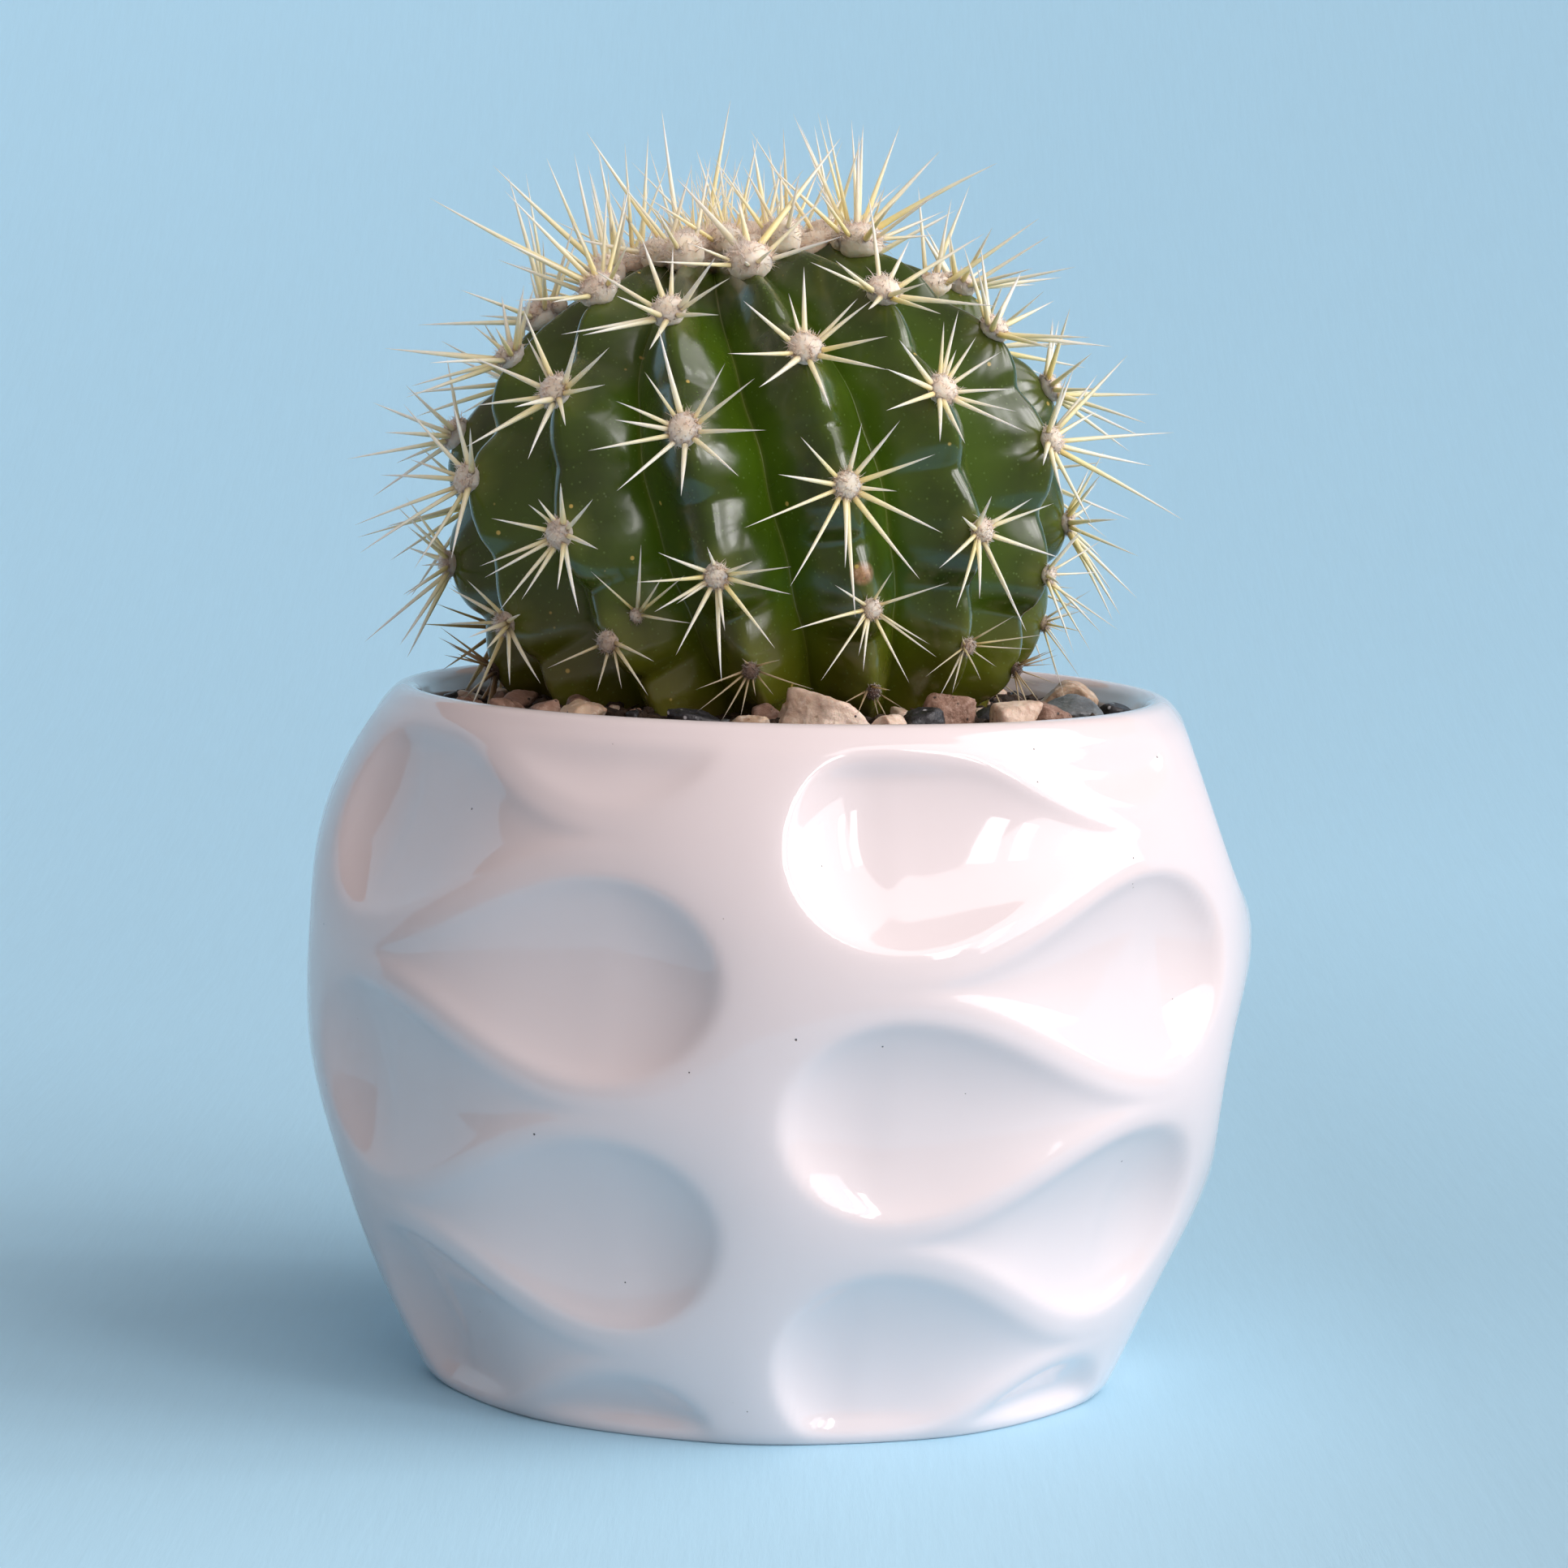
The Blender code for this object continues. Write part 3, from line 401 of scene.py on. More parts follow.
def awl(pile, start, way, length, wide, sag, chance, slot, tone, steps=7, sides=6, blunt=0.03, **extra):
    """A stiff spine: thick where it starts, ending in a point, and slightly curved."""
    start, way = np.asarray(start, float), unit(way)
    t = np.concatenate([np.linspace(0, 1, steps) ** 0.92])
    centre = start + way * (t * length)[:, None] + np.asarray(sag, float) * (t**2)[:, None]
    tangent = unit(np.gradient(centre, axis=0))
    a, b = across(way)
    a = unit(a - tangent * (tangent @ a)[:, None])
    b = np.cross(tangent, a)
    flat = chance.uniform(0.82, 1.0)
    radius = 0.87 * wide * (0.80 * np.clip(1 - t**1.7, 0, 1) ** 0.9 + 0.15 * (1 - t) ** 3 + blunt)
    radius *= 1 + 0.05 * np.sin(t * 9 + chance.uniform(0, 6))
    turn = np.arange(sides) * TAU / sides + chance.uniform(0, 1)
    ring = a[:, None, :] * np.cos(turn)[None, :, None] + b[:, None, :] * (np.sin(turn) * flat)[None, :, None]
    points = (centre[:, None, :] + ring * radius[:, None, None]).reshape(-1, 3)
    points = np.vstack([points, start[None], (centre[-1] + tangent[-1] * 0.12)[None]])
    quads = grid_faces(steps, sides)
    tris = np.vstack([fan(len(points) - 2, np.arange(sides), flip=True), fan(len(points) - 1, np.arange(sides) + (steps - 1) * sides)])
    along = np.concatenate([np.repeat(t, sides), [0.0, 1.0]])
    pile.add(points, quads, tris, slot=slot, along=along, tone=tone, **extra)
    return centre[-1]


# ======================================================================================
# Materials
# ======================================================================================
class Finish:
    """A Principled material and short ways to add nodes to it."""

    def __init__(self, name, roughness=0.5, **constants):
        self.material = bpy.data.materials.new(name)
        self.material.use_nodes = True
        self.tree = self.material.node_tree
        self.shader = self.tree.nodes["Principled BSDF"]
        self.shader.inputs["Roughness"].default_value = roughness
        for key, value in constants.items():
            self.shader.inputs[key.replace("_", " ")].default_value = value
        self.place = self.add("ShaderNodeTexCoord").outputs["Object"]

    def add(self, kind, **settings):
        made = self.tree.nodes.new(kind)
        for key, value in settings.items():
            setattr(made, key, value)
        return made

    def link(self, a, b):
        self.tree.links.new(a, b)

    def _feed(self, socket, value):
        if isinstance(value, bpy.types.NodeSocket):
            self.link(value, socket)
        elif isinstance(value, (tuple, list)) and len(value) == 3 and socket.type == "RGBA":
            socket.default_value = (*value, 1.0)
        else:
            socket.default_value = value

    def field(self, key):
        return self.add("ShaderNodeAttribute", attribute_name=key).outputs["Fac"]

    def noise(self, scale, detail=3.0, rough=0.5, warp=0.0, place=None):
        made = self.add("ShaderNodeTexNoise")
        self.link(place or self.place, made.inputs["Vector"])
        made.inputs["Scale"].default_value = scale
        made.inputs["Detail"].default_value = detail
        made.inputs["Roughness"].default_value = rough
        made.inputs["Distortion"].default_value = warp
        return made.outputs["Fac"]

    def cells(self, scale, feature="F1", output="Distance", place=None, randomness=1.0):
        made = self.add("ShaderNodeTexVoronoi", feature=feature)
        self.link(place or self.place, made.inputs["Vector"])
        made.inputs["Scale"].default_value = scale
        made.inputs["Randomness"].default_value = randomness
        return made.outputs[output]

    def ramp(self, value, *stops, smooth=False):
        made = self.add("ShaderNodeValToRGB")
        if smooth:
            made.color_ramp.interpolation = "EASE"
        self.link(value, made.inputs["Fac"])
        elements = made.color_ramp.elements
        while len(elements) > 1:
            elements.remove(elements[-1])
        for i, (at, colour) in enumerate(stops):
            stop = elements[0] if i == 0 else elements.new(at)
            stop.position = at
            stop.color = (*colour, 1.0) if isinstance(colour, (tuple, list)) else (colour, colour, colour, 1.0)
        return made.outputs["Color"]

    def mix(self, share, a, b, mode="MIX"):
        made = self.add("ShaderNodeMix", data_type="RGBA", blend_type=mode)
        self._feed(made.inputs["Factor"], share)
        self._feed(made.inputs[6], a)
        self._feed(made.inputs[7], b)
        return made.outputs[2]

    def math(self, operation, a, b=0.0, clamp=False):
        made = self.add("ShaderNodeMath", operation=operation, use_clamp=clamp)
        self._feed(made.inputs[0], a)
        self._feed(made.inputs[1], b)
        return made.outputs[0]

    def span(self, value, low, high, to_low=0.0, to_high=1.0):
        made = self.add("ShaderNodeMapRange")
        self._feed(made.inputs["Value"], value)
        for key, number in (("From Min", low), ("From Max", high), ("To Min", to_low), ("To Max", to_high)):
            made.inputs[key].default_value = number
        return made.outputs["Result"]

    def stretched(self, x, y, z):
        made = self.add("ShaderNodeMapping")
        self.link(self.place, made.inputs["Vector"])
        made.inputs["Scale"].default_value = (x, y, z)
        return made.outputs["Vector"]

    def colour(self, socket):
        self._feed(self.shader.inputs["Base Color"], socket)

    def roughness(self, socket):
        self._feed(self.shader.inputs["Roughness"], socket)

    def bump(self, *layers):
        """Each layer is (height, depth in metres)."""
        last = None
        for height, depth in layers:
            made = self.add("ShaderNodeBump")
            made.inputs["Strength"].default_value = 1.0
            made.inputs["Distance"].default_value = depth
            self.link(height, made.inputs["Height"])
            if last is not None:
                self.link(last, made.inputs["Normal"])
            last = made.outputs["Normal"]
        self.link(last, self.shader.inputs["Normal"])


def glaze_finish():
    f = Finish("white_glaze", roughness=0.06, IOR=1.52)
    f.shader.inputs["Coat Weight"].default_value = 0.35
    f.shader.inputs["Coat Roughness"].default_value = 0.03
    base = f.ramp(f.noise(28.0, 3.0), (0.3, (0.755, 0.684, 0.692)), (0.7, (0.78, 0.712, 0.72)))
    # pinholes and specks fired into the glaze
    near = f.cells(300.0)
    pick = f.cells(300.0, output="Color")
    dot = f.math("MULTIPLY", f.span(near, 0.04, 0.022), f.math("GREATER_THAN", pick, 0.8))
    tiny = f.math("MULTIPLY", f.span(f.cells(520.0), 0.045, 0.03), f.math("LESS_THAN", f.cells(520.0, output="Color"), 0.22))
    spots = f.math("MAXIMUM", dot, tiny)
    f.colour(f.mix(spots, base, (0.09, 0.075, 0.07)))
    f.bump((f.noise(95.0, 2.0), 0.00004), (spots, -0.00008))
    return f.material


def skin_finish():
    f = Finish("waxy_green_skin", roughness=0.24, IOR=1.33)
    f.shader.inputs["Coat Weight"].default_value = 1.0
    f.shader.inputs["Coat Roughness"].default_value = 0.17
    f.shader.inputs["Coat IOR"].default_value = 1.50
    f.shader.inputs["Subsurface Weight"].default_value = 0.06
    f.shader.inputs["Subsurface Radius"].default_value = (0.6, 1.0, 0.25)
    f.shader.inputs["Subsurface Scale"].default_value = 0.0022
    share, level, bare = f.field("furrow"), f.field("level"), f.field("near")
    mottle = f.noise(120.0, 4.0, 0.6, 0.4)
    cloud = f.noise(34.0, 2.0, 0.5)
    green = f.ramp(cloud, (0.25, (0.010, 0.022, 0.001)), (0.55, (0.027, 0.053, 0.002)), (0.8, (0.070, 0.118, 0.003)))
    fine = f.ramp(mottle, (0.3, (0.014, 0.034, 0.001)), (0.7, (0.066, 0.118, 0.002)))
    green = f.mix(0.45, green, fine)
    # paler and yellower down in the furrows, with a fine line of its own at the very bottom
    green = f.mix(f.math("MULTIPLY", f.span(share, 0.4, 1.0), 0.6), green, (0.078, 0.165, 0.003))
    line = f.math("MULTIPLY", f.span(share, 0.94, 0.99), f.span(f.noise(60.0, 2.0), 0.35, 0.65, 0.1, 0.6))
    green = f.mix(line, green, (0.17, 0.22, 0.03))
    # the old tissue near the soil is olive, then corky
    low = f.span(f.math("ADD", level, f.span(cloud, 0.0, 1.0, -3.5, 3.5)), 79.0, 66.0)
    green = f.mix(f.math("MULTIPLY", low, 0.8), green, (0.15, 0.14, 0.012))
    cork = f.span(f.math("ADD", level, f.span(mottle, 0.0, 1.0, -2.5, 2.5)), 69.0, 65.0)
    green = f.mix(f.math("MULTIPLY", cork, 0.75), green, (0.10, 0.062, 0.026))
    # a yellowish tint where the felt pads sit
    green = f.mix(f.math("MULTIPLY", f.span(bare, 3.4, 1.4), 0.35), green, (0.16, 0.19, 0.04))
    # a small corky scar on the side facing the viewer
    far = f.add("ShaderNodeVectorMath", operation="DISTANCE")
    f.link(f.stretched(1.0, 0.3, 1.0), far.inputs[0])
    far.inputs[1].default_value = (0.0071, -0.00855, 0.0814)
    scar = f.span(f.math("ADD", far.outputs["Value"], f.span(mottle, 0.0, 1.0, -0.0004, 0.0004)), 0.0013, 0.0007)
    green = f.mix(scar, green, f.ramp(f.noise(1500.0, 4.0, 0.7), (0.3, (0.14, 0.07, 0.03)), (0.55, (0.34, 0.20, 0.10)), (0.8, (0.58, 0.42, 0.27))))
    # pale pores and ochre flecks
    pores = f.math("MULTIPLY", f.span(f.cells(1500.0), 0.20, 0.08), 0.38)
    green = f.mix(pores, green, (0.16, 0.27, 0.07))
    fleck = f.math("MULTIPLY", f.span(f.cells(330.0), 0.085, 0.055), f.math("GREATER_THAN", f.cells(330.0, output="Color"), 0.35))
    green = f.mix(fleck, green, (0.48, 0.36, 0.09))
    f.colour(green)
    f.roughness(f.span(f.noise(210.0, 3.0), 0.25, 0.75, 0.16, 0.30))
    f.bump((f.noise(230.0, 3.0, 0.6), 0.00005), (f.cells(900.0), 0.00002), (pores, 0.00002))
    return f.material


def spine_finish(name="spine_straw", pale=1.0):
    f = Finish(name, roughness=0.34, IOR=1.5)
    f.shader.inputs["Subsurface Weight"].default_value = 0.6
    f.shader.inputs["Subsurface Radius"].default_value = (1.0, 0.85, 0.6)
    f.shader.inputs["Subsurface Scale"].default_value = 0.001
    along, tone, age = f.field("along"), f.field("tone"), f.field("age")
    straw = f.ramp(along, (0.0, (0.84, 0.64, 0.22)), (0.18, (0.90, 0.75, 0.34)), (0.55, (0.94, 0.84, 0.52)),
                   (0.88, (0.95, 0.91, 0.74)), (1.0, (0.90, 0.84, 0.70)))
    cream = f.ramp(along, (0.0, (0.88, 0.79, 0.52)), (0.3, (0.95, 0.91, 0.72)), (1.0, (0.97, 0.95, 0.86)))
    colour = f.mix(tone, straw, cream)
    old = f.ramp(along, (0.0, (0.17, 0.10, 0.055)), (0.5, (0.38, 0.28, 0.17)), (1.0, (0.24, 0.18, 0.13)))
    colour = f.mix(f.math("MULTIPLY", age, 0.9), colour, old)
    streak = f.noise(900.0, 2.0, 0.6)
    colour = f.mix(f.span(streak, 0.4, 0.8, 0.0, 0.22), colour, (0.66, 0.52, 0.27))
    f.colour(colour)
    f.roughness(f.span(streak, 0.2, 0.8, 0.28, 0.48))
    f.bump((f.noise(2200.0, 2.0), 0.00002))
    return f.material


def felt_finish():
    f = Finish("areole_felt", roughness=0.95)
    f.shader.inputs["Sheen Weight"].default_value = 0.25
    f.shader.inputs["Sheen Tint"].default_value = (1.0, 0.80, 0.68, 1.0)
    f.shader.inputs["Sheen Roughness"].default_value = 0.6
    f.shader.inputs["Subsurface Weight"].default_value = 0.85
    f.shader.inputs["Subsurface Radius"].default_value = (1.0, 0.85, 0.7)
    f.shader.inputs["Subsurface Scale"].default_value = 0.003
    age, along = f.field("age"), f.field("along")
    wool = f.noise(1500.0, 4.0, 0.7, 0.6)
    patch = f.noise(420.0, 2.0)
    pink = f.ramp(wool, (0.2, (0.97, 0.60, 0.44)), (0.45, (0.99, 0.70, 0.53)), (0.7, (0.99, 0.82, 0.68)))
    cream = f.ramp(wool, (0.2, (0.98, 0.70, 0.48)), (0.5, (0.99, 0.80, 0.60)), (0.75, (0.99, 0.90, 0.76)))
    colour = f.mix(f.span(patch, 0.35, 0.65), pink, cream)
    colour = f.mix(f.span(along, 0.0, 1.0, 0.1, 0.5), colour, (0.99, 0.90, 0.76))
    old = f.ramp(wool, (0.25, (0.045, 0.026, 0.020)), (0.6, (0.13, 0.08, 0.062)), (0.85, (0.27, 0.19, 0.155)))
    f.colour(f.mix(age, colour, old))
    f.bump((wool, 0.00007), (f.noise(5200.0, 2.0), 0.00003))
    return f.material


def soil_finish(name="potting_soil"):
    f = Finish(name, roughness=0.92)
    tone = f.field("tone")
    grain = f.noise(900.0, 5.0, 0.7)
    lump = f.noise(230.0, 3.0, 0.6)
    dark = f.ramp(grain, (0.25, (0.010, 0.007, 0.005)), (0.55, (0.030, 0.019, 0.012)), (0.8, (0.072, 0.046, 0.028)))
    brown = f.ramp(grain, (0.25, (0.028, 0.016, 0.010)), (0.6, (0.075, 0.043, 0.024)), (0.85, (0.15, 0.094, 0.055)))
    colour = f.mix(f.math("MAXIMUM", f.span(lump, 0.48, 0.7), tone), dark, brown)
    grit = f.math("MULTIPLY", f.span(f.cells(900.0), 0.16, 0.08), f.math("GREATER_THAN", f.cells(900.0, output="Color"), 0.72))
    f.colour(f.mix(grit, colour, (0.36, 0.27, 0.19)))
    f.roughness(f.span(lump, 0.3, 0.7, 0.75, 0.98))
    f.bump((grain, 0.0006), (f.noise(3200.0, 3.0), 0.00015))
    return f.material


def quartz_finish(name, warm):
    f = Finish(name, roughness=0.5, IOR=1.54)
    f.shader.inputs["Subsurface Weight"].default_value = 0.15
    f.shader.inputs["Subsurface Scale"].default_value = 0.0012
    broad, fine = f.noise(190.0, 3.0, 0.55, 0.8), f.noise(1100.0, 4.0, 0.65)
    light = tuple(np.array((0.74, 0.61, 0.50)) * (1 - 0.28 * warm) + np.array((0.0, -0.05, -0.10)) * warm)
    deep = tuple(np.array((0.50, 0.35, 0.25)) * (1 - 0.34 * warm))
    colour = f.ramp(broad, (0.28, deep), (0.5, tuple((np.array(light) + deep) / 2)), (0.68, light))
    colour = f.mix(f.span(fine, 0.52, 0.78, 0.0, 0.75), colour, (0.82, 0.73, 0.63))
    colour = f.mix(f.span(f.noise(700.0, 3.0, 0.6, 1.5), 0.60, 0.72, 0.0, 0.7), colour, (0.27, 0.15, 0.09))
    dots = f.math("MULTIPLY", f.span(f.cells(1300.0), 0.2, 0.12), f.math("GREATER_THAN", f.cells(1300.0, output="Color"), 0.8))
    f.colour(f.mix(dots, colour, (0.05, 0.035, 0.03)))
    f.roughness(f.span(fine, 0.3, 0.7, 0.35, 0.7))
    f.bump((fine, 0.00018), (f.cells(600.0), 0.00012))
    return f.material


def basalt_finish():
    f = Finish("speckled_black_stone", roughness=0.45)
    fine = f.noise(1400.0, 4.0, 0.7)
    colour = f.ramp(fine, (0.3, (0.010, 0.010, 0.012)), (0.6, (0.030, 0.030, 0.034)), (0.85, (0.085, 0.085, 0.092)))
    speck = f.math("MULTIPLY", f.span(f.cells(1100.0), 0.26, 0.14), f.math("GREATER_THAN", f.cells(1100.0, output="Color"), 0.62))
    f.colour(f.mix(speck, colour, (0.52, 0.52, 0.54)))
    f.roughness(f.span(fine, 0.3, 0.7, 0.25, 0.6))
    f.bump((fine, 0.00016), (f.cells(500.0), 0.0002))
    return f.material


def granite_finish():
    f = Finish("brown_pink_stone", roughness=0.6)
    broad, fine = f.noise(260.0, 3.0, 0.6, 0.6), f.noise(1500.0, 4.0, 0.7)
    colour = f.ramp(broad, (0.3, (0.16, 0.085, 0.055)), (0.55, (0.30, 0.18, 0.13)), (0.75, (0.46, 0.31, 0.24)))
    colour = f.mix(f.span(fine, 0.5, 0.8, 0.0, 0.6), colour, (0.60, 0.46, 0.38))
    speck = f.math("MULTIPLY", f.span(f.cells(1600.0), 0.3, 0.18), f.math("GREATER_THAN", f.cells(1600.0, output="Color"), 0.66))
    f.colour(f.mix(speck, colour, (0.045, 0.03, 0.025)))
    f.bump((fine, 0.0002), (f.cells(700.0), 0.00015))
    return f.material


def slate_finish():
    f = Finish("grey_slate_stone", roughness=0.5)
    layer = f.noise(420.0, 4.0, 0.6, 0.4, place=f.stretched(0.5, 0.5, 3.0))
    fine = f.noise(1600.0, 4.0, 0.7)
    colour = f.ramp(layer, (0.3, (0.075, 0.083, 0.088)), (0.6, (0.15, 0.165, 0.172)), (0.8, (0.25, 0.27, 0.275)))
    colour = f.mix(f.span(fine, 0.55, 0.8, 0.0, 0.5), colour, (0.36, 0.37, 0.36))
    f.colour(colour)
    f.roughness(f.span(fine, 0.3, 0.7, 0.38, 0.62))
    f.bump((layer, 0.00022), (fine, 0.0001))
    return f.material


def floor_finish(name, colour):
    f = Finish(name, roughness=0.62)
    f.shader.inputs["Specular IOR Level"].default_value = 0.25
    grain = f.noise(120.0, 5.0, 0.65, place=f.stretched(7.0, 0.55, 1.0))
    cloud = f.noise(3.0, 2.0)
    tone = np.array(colour)
    base = f.ramp(cloud, (0.3, tuple(tone * 0.97)), (0.7, tuple(tone * 1.02)))
    streak = f.ramp(grain, (0.3, tuple(tone * 0.97)), (0.7, tuple(np.minimum(tone * 1.02, 1.0))))
    colour = f.mix(0.5, base, streak)
    # painted shade: the board is darkened a little to the right of the pot by mixing black into its colour
    where = f.add("ShaderNodeSeparateXYZ")
    f.link(f.place, where.inputs["Vector"])
    right = f.math("MULTIPLY", f.span(where.outputs["X"], 0.01, 0.07), f.span(where.outputs["Y"], 0.32, 0.06))
    shade = f.math("MULTIPLY", right, f.span(where.outputs["Y"], -0.3, -0.08))
    f.colour(f.mix(f.math("MULTIPLY", shade, 0.22), colour, (0.0, 0.0, 0.0)))
    f.bump((grain, 0.00004))
    return f.material


# ======================================================================================
# Pot
# ======================================================================================
def dish_relief(angle, z):
    """Depth in mm pressed into the pot's outside at an angle (degrees from -Y) and a height."""
    cell = 360.0 / POT_CELLS
    phi = np.mod(np.asarray(angle, float) - POT_TURN, cell)
    z = np.asarray(z, float)
    depth = np.zeros(np.broadcast(phi, z).shape)
    for middle, half, tail, level, strength in DISHES:
        for shift in (-cell, 0.0, cell):
            along = (phi - middle - shift) * math.copysign(1.0, tail)
            round_end = np.clip(-along / half, 0.0, 1.0)
            t = np.clip(along / abs(tail), 0.0, 1.0)
            taper = (1 - t * t) ** 3.5
            side = (z - level) / (DISH_HALF_HEIGHT * np.maximum(taper, 0.03))
            rho2 = np.where(along < 0, round_end**2 + ((z - level) / DISH_HALF_HEIGHT) ** 2, side**2)
            inside = (rho2 < 1) & (along > -half) & (along < abs(tail))
            one = np.where(inside, strength * (0.25 + 0.75 * taper) * np.maximum(taper, 1e-9) ** 0.3, 0.0)
            # deepest near the round end, where the wall climbs steeply
            one = one * (0.88 + 0.34 * round_end) * np.clip(1 - rho2, 0.0, 1.0) ** 0.66
            depth = np.maximum(depth, one)
    fade = smoothstep(67.0, 63.0, z) * smoothstep(0.2, 3.0, z)
    return DISH_DEPTH * depth * fade


class Relief:
    """The dishes' depth, softened as thick glaze softens it, read at any angle and height."""

    def __init__(self):
        self.low, self.step, self.turn = -6.0, 0.25, 0.25
        angles = np.arange(0, 360, self.turn)
        heights = np.arange(self.low, 76.0, self.step)
        field = dish_relief(angles[None, :], heights[:, None])
        # crisp edges to the dishes, and lands between them that are rounded all over
        self.field = 0.6 * self._soft(field, 0.45) + 0.4 * self._soft(field, 2.6)

    def _soft(self, field, reach):
        count = int(math.ceil(reach * 3 / self.step))
        kernel = np.exp(-0.5 * (np.arange(-count, count + 1) * self.step / reach) ** 2)
        kernel /= kernel.sum()
        padded = np.pad(field, ((count, count), (0, 0)), mode="edge")
        field = sum(k * padded[i:i + len(field)] for i, k in enumerate(kernel))
        sigma = math.degrees(reach / 45.0) / self.turn
        waves = np.fft.rfftfreq(field.shape[1])
        return np.fft.irfft(np.fft.rfft(field, axis=1) * np.exp(-2 * (math.pi * waves * sigma) ** 2), n=field.shape[1], axis=1)

    def __call__(self, angle, z):
        a = np.mod(angle, 360.0) / self.turn
        h = np.clip((z - self.low) / self.step, 0, self.field.shape[0] - 1.001)
        a0, h0 = np.floor(a).astype(int), np.floor(h).astype(int)
        fa, fh = a - a0, h - h0
        a0 %= self.field.shape[1]
        a1 = (a0 + 1) % self.field.shape[1]
        top = self.field[h0, a0] * (1 - fa) + self.field[h0, a1] * fa
        bottom = self.field[h0 + 1, a0] * (1 - fa) + self.field[h0 + 1, a1] * fa
        return top * (1 - fh) + bottom * fh


def cavity_radius(z):
    return np.interp(z, [p[1] for p in POT_INNER] + [66.9], [p[0] for p in POT_INNER] + [35.6])


def build_pot(finish):
    wall = catmull(list(POT_INNER[1:]) + list(POT_RIM) + list(POT_OUTER), 16)
    edge = POT_INNER[-1][1]

    def spacing(q):
        inner = q[0] < cavity_radius(min(q[1], 66.8)) + 1.2 and q[1] < edge
        if inner:
            return 0.8 if q[1] > 56 else 3.5
        if q[1] > 65.5:
            return 0.26
        return 0.47

    wall = resampled(wall, spacing)
    foot = np.array([(33.95, 0.06), (33.5, 0.0), (31.5, 0.0), (29.6, 0.0), (29.2, 0.25), (28.9, 0.8), (28.6, 1.6)])
    base = np.array([(24.0, 1.65), (16.0, 1.7), (8.0, 1.7)])
    floor = np.array([(8.0, 5.6), (16.0, 5.6), (23.0, 5.65), (27.0, 6.0)])
    profile = np.vstack([floor, wall, foot, base])
    columns = 380
    angles = np.arange(columns) * 360.0 / columns
    relief = Relief()
    outer_start = len(floor) + int(np.argmax(wall[:, 1]))
    r = np.repeat(profile[:, 0:1], columns, 1)
    z = np.repeat(profile[:, 1:2], columns, 1)
    rows = np.arange(len(profile))[:, None]
    outside = (rows >= outer_start) & (rows < len(profile) - len(base) - 5)
    depth = relief(np.repeat(angles[None, :], len(profile), 0), z)
    r = r - np.where(outside, depth, 0.0)
    lam = np.radians(angles)[None, :]
    x, y = r * np.sin(lam), -r * np.cos(lam)
    points = np.stack([x, y, z], axis=-1).reshape(-1, 3)
    # a hand-thrown unevenness, far too slight to see except in the reflections
    wave = fractal(points * 0.06, 5, 2) * 0.10 + fractal(points * 0.2, 9, 2) * 0.02
    radial = unit(points * np.array([1.0, 1.0, 0.0]))
    calm = smoothstep(0.5, 4.0, points[:, 2])
    points = points + radial * (wave * calm)[:, None]
    bottom = np.array([[0.0, 0.0, 1.7]])
    inside = np.array([[0.0, 0.0, 5.6]])
    points = np.vstack([points, inside, bottom])
    n = len(points)
    quads = grid_faces(len(profile), columns, flip=True)
    tris = np.vstack([
        fan(n - 2, np.arange(columns)),
        fan(n - 1, np.arange(columns) + (len(profile) - 1) * columns, flip=True),
    ])
    return build_mesh("glazed_pot", points, [quads, tris], [finish])


# ======================================================================================
# Stem
# ======================================================================================
AXIS = unit(STEM_AXIS)
EAST = unit(np.array([1.0, 0, 0]) - AXIS * AXIS[0])
NORTH = np.cross(AXIS, EAST)
CENTRE = np.array(STEM_CENTRE)
TILT = np.stack([EAST, NORTH, AXIS])  # rows: the stem's own axes in the world


def to_world(p):
    return CENTRE + np.asarray(p, float) @ TILT


def rows_of(rib):
    return EVEN_ROWS if rib % 2 == 0 else ODD_ROWS


